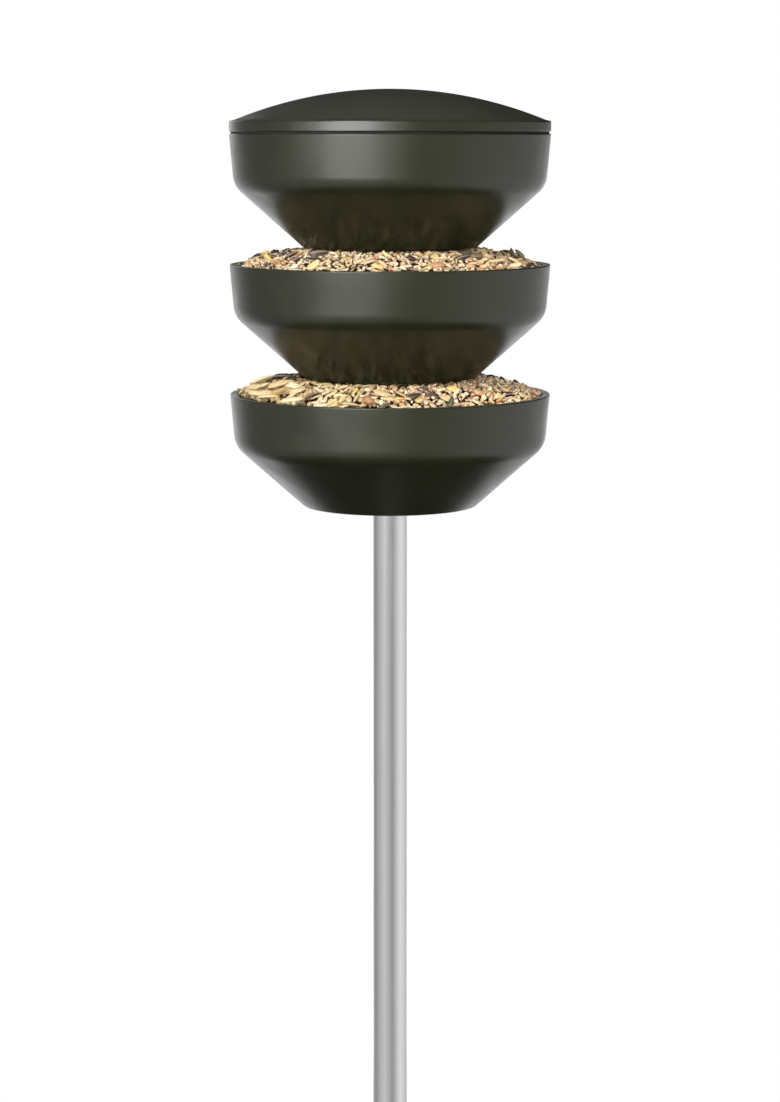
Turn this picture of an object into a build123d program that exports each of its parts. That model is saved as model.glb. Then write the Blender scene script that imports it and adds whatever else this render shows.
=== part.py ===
from build123d import *
import math
import os

# Bird feeding station: a spiked stainless pole in two halves carries three
# stacked plastic bowls. The top bowl is a seed store closed by a domed lid,
# and seed runs down through slots in the floors to the two feeding bowls.
# Millimetres, origin on the pole axis at ground level, +Z up.

# Pole and ground spike
POLE_D = 25.0
POLE_WALL = 1.5
LOWER_TUBE_TOP = 455.0
COLLAR_H = 4.0
SPIKE_D = 16.0
SPIKE_LEN = 200.0
TIP_LEN = 45.0
TIP_END_R = 1.5
PLUG_LEN = 40.0
JOINT_THREAD_D = 12.0
JOINT_THREAD_LEN = 25.0

# Bowls
LOWER_BOWL_Z = 950.0
RIM_R = 115.0
BOWL_H = 81.1
WALL_H = 37.0
WALL_DRAFT = 0.0907
BASE_R = 62.1
WALL = 5.0
FEED_GAP = 11.9
KNUCKLE_R = 18.0
FOOT_EDGE_R = 3.5
RIM_EDGE_R = 0.8
BOSS_H = 12.0
BOSS_WALL = 5.2

# Floor openings
SLOT_COUNT = 4
SLOT_W = 16.0
SLOT_SPAN = 46.0
DRAIN_COUNT = 6
DRAIN_D = 4.0

# Lid
BAND_H = 7.6
BAND_EDGE_R = 0.8
LIP_W = 4.0
LIP_RISE = 0.9
LIP_BLEND_R = 12.0
DOME_RISE = 22.0
LID_WALL = 3.0
LID_EDGE_R = 1.3
SHADOW_GAP = 1.4
SHADOW_DEPTH = 1.2
SPIGOT_H = 10.0
SPIGOT_WALL = 2.5

# Column hardware
SUPPORT_DISC_H = 3.0
SUPPORT_WASHER_H = 1.0
SUPPORT_OVERHANG = 15.5
SPACER_WALL = 3.2
TUBE_RECESS = 3.0
TOP_INSERT_LEN = 30.0

# Clamp knob
CLAMP_THREAD_D = 10.0
CLAMP_THREAD_GRIP = 12.0
CLAMP_WASHER_R = 22.0
CLAMP_WASHER_H = 2.0
KNOB_R = 20.0
KNOB_H = 18.0
KNOB_LOBES = 8
KNOB_HOLE_H = 11.0

# Seed
SEED_BELOW_FOOT = 1.5
SEED_BELOW_RIM = 1.0
SEED_SHOULDER = 3.0
STORE_DEPTH_WALL = 34.0
STORE_DEPTH_HUB = 20.0

# Clearances
SLIDE_CLEAR = 0.3
SEED_CLEAR = 0.3
THREAD_CLEAR = 0.3
LID_CLEAR = 0.6
KNOB_CLEAR = 4.0

# Derived sizes
POLE_R = POLE_D / 2
TUBE_BORE_R = POLE_R - POLE_WALL
HUB_BORE_R = POLE_R + SLIDE_CLEAR
BOSS_R = HUB_BORE_R + BOSS_WALL
WALL_FOOT_R = RIM_R - WALL_H * WALL_DRAFT
CONE_H = BOWL_H - WALL_H
CONE_SLOPE = (WALL_FOOT_R - BASE_R) / CONE_H
CONE_SHIFT = math.hypot(1.0, CONE_SLOPE)
WALL_SHIFT = math.hypot(1.0, WALL_DRAFT)
SLOT_R = (BOSS_R + BASE_R) / 2
PITCH = BOWL_H + FEED_GAP
MIDDLE_BOWL_Z = LOWER_BOWL_Z + PITCH
UPPER_BOWL_Z = MIDDLE_BOWL_Z + PITCH
STORE_RIM_Z = UPPER_BOWL_Z + BOWL_H
CLAMP_Z = UPPER_BOWL_Z + BOSS_H
TUBE_TOP_Z = CLAMP_Z - TUBE_RECESS
KNOB_Z = CLAMP_Z + CLAMP_WASHER_H
LID_R = RIM_R
BAND_LOW_Z = STORE_RIM_Z + SHADOW_GAP
BAND_TOP_Z = BAND_LOW_Z + BAND_H
DOME_R = LID_R - LIP_W
DOME_Z = BAND_TOP_Z + LIP_RISE


def disc(radius, low, high):
    """Upright cylinder on the pole axis between two heights."""
    align = (Align.CENTER, Align.CENTER, Align.MIN)
    return Pos(0, 0, low) * Cylinder(radius, high - low, align=align)


def ring(inner, outer, low, high):
    """Upright round sleeve on the pole axis between two heights."""
    return disc(outer, low, high) - disc(inner, low, high)


def turned(outline, rounds=()):
    """Solid turned about the pole axis from a closed outline of (radius, height) corners.

    Each entry of rounds is a corner's number in the outline and its rounding radius.
    """
    sketch = make_face(Polyline(*outline, close=True))
    for number, radius in rounds:
        corner = sketch.vertices().sort_by_distance(outline[number])[0]
        sketch = fillet(corner, radius)
    return revolve(Plane.XZ * sketch, Axis.Z)


def cone_radius(height, inset):
    """Radius of the bowl's cone at a height over its foot, moved inwards by inset."""
    return BASE_R + height * CONE_SLOPE - inset * CONE_SHIFT


def wall_radius(height, inset):
    """Radius of the bowl's upright wall at a height over its foot, moved inwards by inset."""
    return WALL_FOOT_R + (height - CONE_H) * WALL_DRAFT - inset * WALL_SHIFT


def knuckle(inset):
    """Corner between cone and wall, moved inwards by inset, as (radius, height over the foot)."""
    height = CONE_H + inset * (CONE_SHIFT - WALL_SHIFT) / (CONE_SLOPE - WALL_DRAFT)
    return (wall_radius(height, inset), height)


def raised(outline, base):
    """Outline moved up by the height of a bowl's foot."""
    return [(radius, height + base) for radius, height in outline]


def bowl_blank(base):
    """Turned bowl with a flat floor and a bored central boss."""
    outline = [
        (HUB_BORE_R, 0),
        (BASE_R, 0),
        (WALL_FOOT_R, CONE_H),
        (RIM_R, BOWL_H),
        (wall_radius(BOWL_H, WALL), BOWL_H),
        knuckle(WALL),
        (cone_radius(WALL, WALL), WALL),
        (BOSS_R, WALL),
        (BOSS_R, BOSS_H),
        (HUB_BORE_R, BOSS_H),
    ]
    rounds = [
        (1, FOOT_EDGE_R),
        (2, KNUCKLE_R),
        (3, RIM_EDGE_R),
        (4, RIM_EDGE_R),
        (5, KNUCKLE_R - WALL),
        (6, FOOT_EDGE_R),
        (7, WALL / 2),
        (8, WALL / 4),
    ]
    return turned(raised(outline, base), rounds)


def floor_slots(base):
    """Curved slots through a bowl's floor that let seed run to the bowl below."""
    arc = CenterArc((0, 0), SLOT_R, -SLOT_SPAN / 2, SLOT_SPAN)
    slot = extrude(SlotArc(arc, SLOT_W), WALL * 3)
    return [Pos(0, 0, base - WALL) * turn * slot for turn in PolarLocations(0, SLOT_COUNT)]


def drain_holes(base):
    """Small round holes through the lowest floor that let rain out."""
    places = PolarLocations(SLOT_R, DRAIN_COUNT)
    return [place * disc(DRAIN_D / 2, base - WALL, base + WALL * 2) for place in places]


def feeding_bowl(base):
    """Bowl that passes seed on through its floor."""
    return bowl_blank(base) - floor_slots(base)


def lowest_bowl(base):
    """Bowl whose floor only drains."""
    return bowl_blank(base) - drain_holes(base)


def seed_heap(base):
    """Seed in a feeding bowl, heaped up to the foot of the bowl above."""
    inset = WALL + SEED_CLEAR
    edge = BOWL_H - SEED_BELOW_RIM
    top = PITCH - SEED_BELOW_FOOT
    inner = BOSS_R + SEED_CLEAR
    outline = [
        (inner, inset),
        (cone_radius(inset, inset), inset),
        knuckle(inset),
        (wall_radius(edge, inset), edge),
        (BASE_R + SEED_SHOULDER, top),
        (inner, top),
    ]
    rounds = [(0, WALL / 2), (1, FOOT_EDGE_R), (2, KNUCKLE_R - WALL)]
    return turned(raised(outline, base), rounds)


def seed_store(base):
    """Seed in the closed top bowl, with a hollow around the clamp knob."""
    inset = WALL + SEED_CLEAR
    inner = max(KNOB_R, CLAMP_WASHER_R) + KNOB_CLEAR
    outline = [
        (inner, inset),
        (cone_radius(inset, inset), inset),
        (cone_radius(STORE_DEPTH_WALL, inset), STORE_DEPTH_WALL),
        (inner, STORE_DEPTH_HUB),
    ]
    return turned(raised(outline, base), [(1, FOOT_EDGE_R)])


def spacer(base):
    """Sleeve over the pole from a bowl's boss to the foot of the bowl above."""
    return ring(HUB_BORE_R, HUB_BORE_R + SPACER_WALL, base + BOSS_H, base + PITCH)


def spike():
    """Pointed spike with a collar that closes the tube and a plug inside it."""
    outline = [
        (0, -SPIKE_LEN - TIP_LEN),
        (TIP_END_R, -SPIKE_LEN - TIP_LEN),
        (SPIKE_D / 2, -SPIKE_LEN),
        (SPIKE_D / 2, 0),
        (POLE_R, 0),
        (POLE_R, COLLAR_H),
        (TUBE_BORE_R, COLLAR_H),
        (TUBE_BORE_R, COLLAR_H + PLUG_LEN),
        (0, COLLAR_H + PLUG_LEN),
    ]
    return turned(outline)


def joining_plug():
    """Plug in the top of the lower tube with a stud that stands out of it."""
    plug = disc(TUBE_BORE_R, LOWER_TUBE_TOP - PLUG_LEN, LOWER_TUBE_TOP)
    return plug + disc(JOINT_THREAD_D / 2, LOWER_TUBE_TOP, LOWER_TUBE_TOP + JOINT_THREAD_LEN)


def joining_bush():
    """Bush in the foot of the upper tube that takes the stud."""
    bore = JOINT_THREAD_D / 2 + THREAD_CLEAR
    return ring(bore, TUBE_BORE_R, LOWER_TUBE_TOP, LOWER_TUBE_TOP + PLUG_LEN)


def support_ring():
    """Disc fixed on the tube under the lowest bowl."""
    top = LOWER_BOWL_Z - SUPPORT_WASHER_H
    return ring(POLE_R, POLE_R + SUPPORT_OVERHANG, top - SUPPORT_DISC_H, top)


def support_pad():
    """Soft washer between the disc and the lowest bowl."""
    outer = POLE_R + SUPPORT_OVERHANG
    return ring(HUB_BORE_R, outer, LOWER_BOWL_Z - SUPPORT_WASHER_H, LOWER_BOWL_Z)


def knob():
    """Hand knob with finger hollows around it and a blind hole for its stud."""
    top = KNOB_Z + KNOB_H
    outline = [(0, KNOB_Z), (KNOB_R, KNOB_Z), (KNOB_R, top), (0, top)]
    body = turned(outline, [(1, KNOB_H / 12), (2, KNOB_H / 6)])
    hollow = disc(KNOB_R * 0.3, KNOB_Z - KNOB_H, top + KNOB_H)
    hollows = [place * hollow for place in PolarLocations(KNOB_R * 1.18, KNOB_LOBES)]
    return body - hollows - disc(CLAMP_THREAD_D / 2, KNOB_Z - KNOB_H, KNOB_Z + KNOB_HOLE_H)


def knob_thread():
    """Threaded stud from inside the knob down into the bush at the pole's top."""
    low = TUBE_TOP_Z - CLAMP_THREAD_GRIP
    return disc(CLAMP_THREAD_D / 2, low, KNOB_Z + KNOB_HOLE_H)


def dome_arc(low_z, edge_r, rise):
    """Arc of a dome from its edge up to its crown on the axis."""
    sphere_r = (edge_r**2 + rise**2) / (2 * rise)
    half = edge_r / 2
    mid = low_z + rise - sphere_r + math.sqrt(sphere_r**2 - half**2)
    return ThreePointArc((edge_r, low_z), (half, mid), (0, low_z + rise))


def lid_outline():
    """Half section of the lid: dome, lip, band, shadow step, seat and spigot."""
    spigot_r = wall_radius(BOWL_H, WALL) - LID_CLEAR
    spigot_low = STORE_RIM_Z - SPIGOT_H
    spigot_low_r = spigot_r - SPIGOT_H * WALL_DRAFT
    inner_r = spigot_low_r - SPIGOT_WALL
    inner_top = BAND_TOP_Z - LID_WALL / 2
    crown_z = DOME_Z + DOME_RISE
    inner_rise = crown_z - LID_WALL - inner_top
    step_r = LID_R - SHADOW_DEPTH
    corners = [
        (DOME_R, DOME_Z),
        (LID_R, BAND_TOP_Z),
        (LID_R, BAND_LOW_Z),
        (step_r, BAND_LOW_Z),
        (step_r, STORE_RIM_Z),
        (spigot_r, STORE_RIM_Z),
        (spigot_low_r, spigot_low),
        (inner_r, spigot_low),
        (inner_r, inner_top),
    ]
    crown = Line((0, crown_z - LID_WALL), (0, crown_z))
    skirt = Polyline(*corners)
    return [dome_arc(DOME_Z, DOME_R, DOME_RISE), skirt, dome_arc(inner_top, inner_r, inner_rise), crown]


def lid_cover():
    """Domed lid turned from its half section, with its lip blended and its band's edges rounded."""
    section = make_face(lid_outline())
    rounds = [
        ((LID_R, BAND_TOP_Z), LID_EDGE_R),
        ((LID_R, BAND_LOW_Z), BAND_EDGE_R),
        ((DOME_R, DOME_Z), LIP_BLEND_R),
    ]
    for place, radius in rounds:
        corner = section.vertices().sort_by_distance(place)[0]
        section = fillet(corner, radius)
    return revolve(Plane.XZ * section, Axis.Z)


def pieces():
    """Every piece of the station by its node name."""
    return {
        "ground_spike": spike(),
        "lower_tube": ring(TUBE_BORE_R, POLE_R, COLLAR_H, LOWER_TUBE_TOP),
        "joining_stud": joining_plug(),
        "joining_socket": joining_bush(),
        "upper_tube": ring(TUBE_BORE_R, POLE_R, LOWER_TUBE_TOP, TUBE_TOP_Z),
        "support_disc": support_ring(),
        "support_washer": support_pad(),
        "tube_top_insert": ring(
            CLAMP_THREAD_D / 2 + THREAD_CLEAR, TUBE_BORE_R, TUBE_TOP_Z - TOP_INSERT_LEN, TUBE_TOP_Z
        ),
        "lower_bowl": lowest_bowl(LOWER_BOWL_Z),
        "lower_spacer": spacer(LOWER_BOWL_Z),
        "seed_fill_lower": seed_heap(LOWER_BOWL_Z),
        "middle_bowl": feeding_bowl(MIDDLE_BOWL_Z),
        "upper_spacer": spacer(MIDDLE_BOWL_Z),
        "seed_fill_middle": seed_heap(MIDDLE_BOWL_Z),
        "upper_bowl": feeding_bowl(UPPER_BOWL_Z),
        "seed_fill_upper": seed_store(UPPER_BOWL_Z),
        "clamp_washer": ring(CLAMP_THREAD_D / 2 + THREAD_CLEAR, CLAMP_WASHER_R, CLAMP_Z, KNOB_Z),
        "clamp_knob": knob(),
        "knob_stud": knob_thread(),
        "lid": lid_cover(),
    }


os.makedirs("parts", exist_ok=True)
for name, shape in pieces().items():
    export_step(shape, f"parts/{name}.step")
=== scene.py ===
"""Looks of the bird feeding station: its mouldings, finishes and seed, and a plain studio.

Sizes are metres in the frame of the solids: origin on the pole axis at ground level, +Z up
and -Y towards the viewer.
"""

import logging
import math
from dataclasses import dataclass
from enum import Enum

import bpy
import numpy as np
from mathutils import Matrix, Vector


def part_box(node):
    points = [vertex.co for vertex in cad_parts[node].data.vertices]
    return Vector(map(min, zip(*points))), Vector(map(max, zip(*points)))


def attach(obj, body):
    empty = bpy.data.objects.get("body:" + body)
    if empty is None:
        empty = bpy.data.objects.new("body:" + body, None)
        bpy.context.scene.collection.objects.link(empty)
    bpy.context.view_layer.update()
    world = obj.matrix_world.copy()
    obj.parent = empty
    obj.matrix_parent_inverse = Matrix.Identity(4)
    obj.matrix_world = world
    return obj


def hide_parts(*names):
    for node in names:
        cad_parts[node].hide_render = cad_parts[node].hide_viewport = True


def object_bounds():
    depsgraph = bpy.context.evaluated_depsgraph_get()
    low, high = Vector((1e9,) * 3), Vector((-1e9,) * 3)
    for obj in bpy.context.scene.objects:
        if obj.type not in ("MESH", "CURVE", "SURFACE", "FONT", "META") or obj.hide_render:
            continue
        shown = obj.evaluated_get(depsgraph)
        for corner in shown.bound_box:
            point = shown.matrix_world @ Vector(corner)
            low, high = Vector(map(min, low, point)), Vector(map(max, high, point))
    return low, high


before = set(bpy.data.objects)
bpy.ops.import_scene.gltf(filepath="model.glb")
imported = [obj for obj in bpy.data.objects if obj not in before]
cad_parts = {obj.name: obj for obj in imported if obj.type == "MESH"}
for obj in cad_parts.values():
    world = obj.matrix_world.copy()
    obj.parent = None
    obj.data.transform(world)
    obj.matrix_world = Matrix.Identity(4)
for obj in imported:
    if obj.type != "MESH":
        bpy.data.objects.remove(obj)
CAD_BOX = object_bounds()

log = logging.getLogger("feeding_station")

Colour = tuple[float, float, float, float]
MM = 0.001
IMAGE_HEIGHT = 1102


def paint(red: int, green: int, blue: int) -> Colour:
    """Turns a display colour of 0 to 255 into the linear colour that shaders use.

    Args:
        red: red on a display.
        green: green on a display.
        blue: blue on a display.

    Returns:
        The linear colour, opaque.
    """

    def linear(level: int) -> float:
        """Linear value of one display channel."""
        share = level / 255
        return share / 12.92 if share <= 0.04045 else ((share + 0.055) / 1.055) ** 2.4

    return (linear(red), linear(green), linear(blue), 1.0)


class Graph:
    """Adds and links the nodes of one node tree."""

    def __init__(self, tree: bpy.types.NodeTree) -> None:
        """Keeps the tree that nodes are added to."""
        self.tree = tree

    def node(self, kind: str, inputs: dict | None = None, **settings: object) -> bpy.types.Node:
        """Adds a node.

        Args:
            kind: Blender's name of the node type.
            inputs: values or output sockets for its inputs, by name or number.
            settings: attributes of the node itself.

        Returns:
            The new node.
        """
        made = self.tree.nodes.new(kind)
        for name, value in settings.items():
            setattr(made, name, value)
        for key, value in (inputs or {}).items():
            self.feed(made.inputs[key], value)
        return made

    def feed(self, socket: bpy.types.NodeSocket, value: object) -> None:
        """Links an output to a socket, or sets the socket's own value.

        Args:
            socket: the input that takes the value.
            value: an output socket or a plain value.
        """
        if isinstance(value, bpy.types.NodeSocket):
            self.tree.links.new(value, socket)
        else:
            socket.default_value = value

    def maths(self, operation: str, *values: object) -> bpy.types.NodeSocket:
        """Result of one arithmetic step on values or sockets."""
        return self.node("ShaderNodeMath", dict(enumerate(values)), operation=operation).outputs[0]

    def spread(
        self, value: object, low: float, high: float, start: object, end: object
    ) -> bpy.types.NodeSocket:
        """Value carried smoothly from low..high to start..end."""
        inputs = {"Value": value, "From Min": low, "From Max": high, "To Min": start, "To Max": end}
        return self.node("ShaderNodeMapRange", inputs, interpolation_type="SMOOTHSTEP").outputs["Result"]

    def blend(self, share: object, first: object, second: object) -> bpy.types.NodeSocket:
        """Colour between two colours; the node's inputs 6 and 7 and its output 2 are colours."""
        inputs = {"Factor": share, 6: first, 7: second}
        return self.node("ShaderNodeMix", inputs, data_type="RGBA").outputs[2]

    def noise(self, place: object, scale: object, detail: float) -> bpy.types.NodeSocket:
        """Soft noise from 0 to 1 at a place."""
        inputs = {"Vector": place, "Scale": scale, "Detail": detail}
        return self.node("ShaderNodeTexNoise", inputs).outputs["Fac"]

    def patches(self, place: object, size: object, detail: float) -> bpy.types.NodeSocket:
        """Soft noise whose patches have about the given size."""
        return self.noise(place, self.maths("DIVIDE", 1.0, size), detail)

    def contrast(self, noise: object) -> bpy.types.NodeSocket:
        """Noise whose usual values are spread over the whole of 0 to 1."""
        return self.spread(noise, 0.3, 0.7, 0.0, 1.0)

    def stretched(self, place: object, by: tuple[float, float, float]) -> bpy.types.NodeSocket:
        """Place scaled apart along each axis."""
        return self.node("ShaderNodeVectorMath", {0: place, 1: by}, operation="MULTIPLY").outputs[0]

    def length(self, vector: object) -> bpy.types.NodeSocket:
        """Length of a vector."""
        return self.node("ShaderNodeVectorMath", {0: vector}, operation="LENGTH").outputs["Value"]


class Effect(Enum):
    """Surface effects that several finishes share, each one node group."""

    MOULDED_GRAIN = "moulded_grain"
    EDGE_WEAR = "edge_wear"
    SETTLED_DUST = "settled_dust"
    METAL_GRAIN = "metal_grain"
    KERNEL_TONE = "kernel_tone"

    def group(self) -> bpy.types.NodeTree:
        """The effect's node group, built the first time it is asked for."""
        found = bpy.data.node_groups.get(self.value)
        return found or EFFECT_BUILDERS[self]()

    def place(self, graph: Graph, **values: object) -> dict[str, bpy.types.NodeSocket]:
        """Puts the effect into a material.

        Args:
            graph: the material's nodes.
            values: the effect's inputs, with _ for the spaces in their names.

        Returns:
            The effect's outputs by name.
        """
        made = graph.node("ShaderNodeGroup", node_tree=self.group())
        for name, value in values.items():
            graph.feed(made.inputs[name.replace("_", " ")], value)
        return {socket.name: socket for socket in made.outputs}


def start_group(effect: Effect, takes: dict[str, float], gives: tuple[str, ...]) -> tuple[Graph, dict, dict]:
    """Starts an effect's node group.

    Args:
        effect: the effect that the group makes.
        takes: its inputs and their usual values.
        gives: the names of its outputs.

    Returns:
        The group's nodes, its input values and the sockets that its results go to.
    """
    tree = bpy.data.node_groups.new(effect.value, "ShaderNodeTree")
    for name, value in takes.items():
        tree.interface.new_socket(name, in_out="INPUT", socket_type="NodeSocketFloat").default_value = value
    for name in gives:
        tree.interface.new_socket(name, in_out="OUTPUT", socket_type="NodeSocketFloat")
    graph = Graph(tree)
    entry = {socket.name: socket for socket in graph.node("NodeGroupInput").outputs}
    leave = {socket.name: socket for socket in graph.node("NodeGroupOutput").inputs}
    return graph, entry, leave


def build_moulded_grain() -> bpy.types.NodeTree:
    """Fine pitted grain of a moulding tool, and broad faint mottling.

    Returns:
        The node group.
    """
    graph, takes, gives = start_group(
        Effect.MOULDED_GRAIN, {"Grain Size": 0.6 * MM, "Mottle Size": 25 * MM}, ("Height", "Mottle")
    )
    place = graph.node("ShaderNodeTexCoord").outputs["Object"]
    graph.feed(gives["Height"], graph.patches(place, takes["Grain Size"], 3.0))
    graph.feed(gives["Mottle"], graph.contrast(graph.patches(place, takes["Mottle Size"], 4.0)))
    return graph.tree


def build_edge_wear() -> bpy.types.NodeTree:
    """Mask of the sharpest outer edges, broken up along their length.

    Returns:
        The node group.
    """
    graph, takes, gives = start_group(
        Effect.EDGE_WEAR, {"Start": 0.52, "Full": 0.6, "Patch Size": 8 * MM}, ("Wear",)
    )
    place = graph.node("ShaderNodeTexCoord").outputs["Object"]
    sharp = graph.node("ShaderNodeNewGeometry").outputs["Pointiness"]
    inputs = {"Value": sharp, "From Min": takes["Start"], "From Max": takes["Full"]}
    edge = graph.node("ShaderNodeMapRange", inputs).outputs["Result"]
    patch = graph.patches(place, takes["Patch Size"], 3.0)
    graph.feed(gives["Wear"], graph.maths("MULTIPLY", edge, graph.spread(patch, 0.35, 0.65, 0.25, 1.0)))
    return graph.tree


def build_settled_dust() -> bpy.types.NodeTree:
    """Mask of thin dust on faces that look up.

    Returns:
        The node group.
    """
    graph, takes, gives = start_group(Effect.SETTLED_DUST, {"Patch Size": 30 * MM}, ("Dust",))
    place = graph.node("ShaderNodeTexCoord").outputs["Object"]
    upright = graph.node("ShaderNodeSeparateXYZ", {0: graph.node("ShaderNodeNewGeometry").outputs["Normal"]})
    lying = graph.spread(upright.outputs["Z"], 0.3, 1.0, 0.0, 1.0)
    patch = graph.patches(place, takes["Patch Size"], 5.0)
    graph.feed(gives["Dust"], graph.maths("MULTIPLY", lying, graph.spread(patch, 0.3, 0.75, 0.2, 1.0)))
    return graph.tree


def build_metal_grain() -> bpy.types.NodeTree:
    """Fine lines of drawn or turned metal: along the axis, or around it.

    Returns:
        The node group.
    """
    graph, takes, gives = start_group(
        Effect.METAL_GRAIN,
        {"Line Width": 0.5 * MM, "Line Length": 120 * MM, "Turned": 0.0},
        ("Line", "Smear"),
    )
    place = graph.node("ShaderNodeTexCoord").outputs["Object"]
    parts = graph.node("ShaderNodeSeparateXYZ", {0: place}).outputs
    around = graph.maths("ARCTAN2", parts["Y"], parts["X"])
    squares = [graph.maths("MULTIPLY", parts[axis], parts[axis]) for axis in "XY"]
    radius = graph.maths("SQRT", graph.maths("ADD", *squares))
    across = graph.maths("DIVIDE", 1.0, takes["Line Width"])
    along = graph.maths("DIVIDE", 1.0, takes["Line Length"])

    def lines(side: object, other: object, run: object) -> bpy.types.NodeSocket:
        """Noise that is narrow in side and other and long in run."""
        scaled = [graph.maths("MULTIPLY", *pair) for pair in ((side, across), (other, across), (run, along))]
        return graph.noise(graph.node("ShaderNodeCombineXYZ", dict(enumerate(scaled))).outputs[0], 1.0, 3.0)

    drawn = lines(parts["X"], parts["Y"], parts["Z"])
    turned = lines(radius, parts["Z"], graph.maths("MULTIPLY", around, radius))
    mix = graph.node("ShaderNodeMix", {"Factor": takes["Turned"], "A": drawn, "B": turned})
    smear = graph.noise(graph.stretched(place, (60.0, 60.0, 12.0)), 1.0, 3.0)
    graph.feed(gives["Line"], mix.outputs[0])
    graph.feed(gives["Smear"], graph.contrast(smear))
    return graph.tree


def build_kernel_tone() -> bpy.types.NodeTree:
    """Each kernel's own shade, its length and girth, and fine mottling of its skin.

    Returns:
        The node group.
    """
    graph, takes, gives = start_group(
        Effect.KERNEL_TONE, {"Mottle Size": 0.8 * MM}, ("Tone", "Along", "Around", "Mottle")
    )
    own = graph.node("ShaderNodeAttribute", attribute_name="kernel_tone").outputs["Fac"]
    spot = graph.node("ShaderNodeAttribute", attribute_name="kernel_place").outputs["Vector"]
    parts = graph.node("ShaderNodeSeparateXYZ", {0: spot}).outputs
    place = graph.node("ShaderNodeTexCoord").outputs["Object"]
    mottle = graph.patches(place, takes["Mottle Size"], 3.0)
    graph.feed(gives["Tone"], own)
    graph.feed(gives["Along"], parts["X"])
    graph.feed(gives["Around"], graph.maths("ARCTAN2", parts["Z"], parts["Y"]))
    graph.feed(gives["Mottle"], graph.contrast(mottle))
    return graph.tree


EFFECT_BUILDERS = {
    Effect.MOULDED_GRAIN: build_moulded_grain,
    Effect.EDGE_WEAR: build_edge_wear,
    Effect.SETTLED_DUST: build_settled_dust,
    Effect.METAL_GRAIN: build_metal_grain,
    Effect.KERNEL_TONE: build_kernel_tone,
}


def start_material(name: str, **values: object) -> tuple[bpy.types.Material, Graph, bpy.types.Node]:
    """Starts a material with one Principled shader.

    Args:
        name: the finish.
        values: the shader's own even values, with _ for the spaces in their names.

    Returns:
        The material, its nodes and the shader.
    """
    made = bpy.data.materials.new(name)
    made.use_nodes = True
    shader = made.node_tree.nodes["Principled BSDF"]
    for key, value in values.items():
        shader.inputs[key.replace("_", " ")].default_value = value
    return made, Graph(made.node_tree), shader


def roughen(graph: Graph, shader: bpy.types.Node, height: object, depth: float) -> None:
    """Bends a shader's normal by a height of the given depth in metres."""
    bump = graph.node("ShaderNodeBump", {"Height": height, "Distance": depth, "Strength": 1.0})
    graph.feed(shader.inputs["Normal"], bump.outputs[0])


@dataclass(frozen=True)
class MouldedPlastic:
    """Moulded plastic with a fine grain, faint mottling, paler edges and a breath of dust.

    A mesh attribute marks a step that no polish reaches; the step is also painted a dark colour that stands
    for the shade in it.
    """

    name: str
    deep: Colour
    shallow: Colour
    edge: Colour
    roughness: float
    grain_depth: float = 0.008 * MM
    grain_size: float = 0.55 * MM
    dust: float = 0.0
    roughness_play: float = 0.03
    edge_share: float = 0.5
    dust_colour: Colour = paint(150, 145, 130)
    dust_dulling: float = 0.4
    # dark colour painted on the step under the lid's band as its shade
    step_painted_shade: Colour = paint(12, 12, 9)
    step_dulling: float = 0.5

    def material(self) -> bpy.types.Material:
        """Builds the finish.

        Returns:
            The material.
        """
        made, graph, shader = start_material(self.name, IOR=1.48)
        unpolished_painted_shade = graph.node("ShaderNodeAttribute", attribute_name="unpolished_painted_shade").outputs["Fac"]
        grain = Effect.MOULDED_GRAIN.place(graph, Grain_Size=self.grain_size)
        wear = Effect.EDGE_WEAR.place(graph)["Wear"]
        dust = graph.maths("MULTIPLY", Effect.SETTLED_DUST.place(graph)["Dust"], self.dust)
        body = graph.blend(grain["Mottle"], self.deep, self.shallow)
        worn = graph.blend(graph.maths("MULTIPLY", wear, self.edge_share), body, self.edge)
        dusty = graph.blend(dust, worn, self.dust_colour)
        # Painted shade: the marked step takes a dark colour instead of the plastic's own
        graph.feed(shader.inputs["Base Color"], graph.blend(unpolished_painted_shade, dusty, self.step_painted_shade))
        low, high = self.roughness - self.roughness_play, self.roughness + self.roughness_play
        rough = graph.spread(grain["Mottle"], 0.0, 1.0, low, high)
        dull = graph.maths("ADD", rough, graph.maths("MULTIPLY", dust, self.dust_dulling))
        matt = graph.maths("MULTIPLY_ADD", unpolished_painted_shade, self.step_dulling, dull)
        graph.feed(shader.inputs["Roughness"], matt)
        roughen(graph, shader, grain["Height"], self.grain_depth)
        return made


@dataclass(frozen=True)
class GrainedSteel:
    """Stainless steel with the lines of drawing or turning and faint smears."""

    name: str
    dull: Colour
    bright: Colour
    roughness: float
    turned: float = 0.0
    line_width: float = 0.45 * MM
    line_length: float = 160 * MM
    line_depth: float = 0.004 * MM
    stretch: float = 0.0
    roughness_play: float = 0.06
    smear_dulling: float = 0.06

    def material(self) -> bpy.types.Material:
        """Builds the finish.

        Returns:
            The material.
        """
        made, graph, shader = start_material(self.name, Metallic=1.0, Anisotropic=self.stretch)
        around = graph.node("ShaderNodeTangent", direction_type="RADIAL", axis="Z")
        graph.feed(shader.inputs["Tangent"], around.outputs[0])
        lines = Effect.METAL_GRAIN.place(
            graph, Line_Width=self.line_width, Line_Length=self.line_length, Turned=self.turned
        )
        graph.feed(shader.inputs["Base Color"], graph.blend(lines["Line"], self.dull, self.bright))
        low, high = self.roughness - self.roughness_play, self.roughness + self.roughness_play
        clean = graph.spread(lines["Line"], 0.25, 0.75, low, high)
        rough = graph.maths("ADD", clean, graph.maths("MULTIPLY", lines["Smear"], self.smear_dulling))
        graph.feed(shader.inputs["Roughness"], rough)
        roughen(graph, shader, lines["Line"], self.line_depth)
        return made


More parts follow.
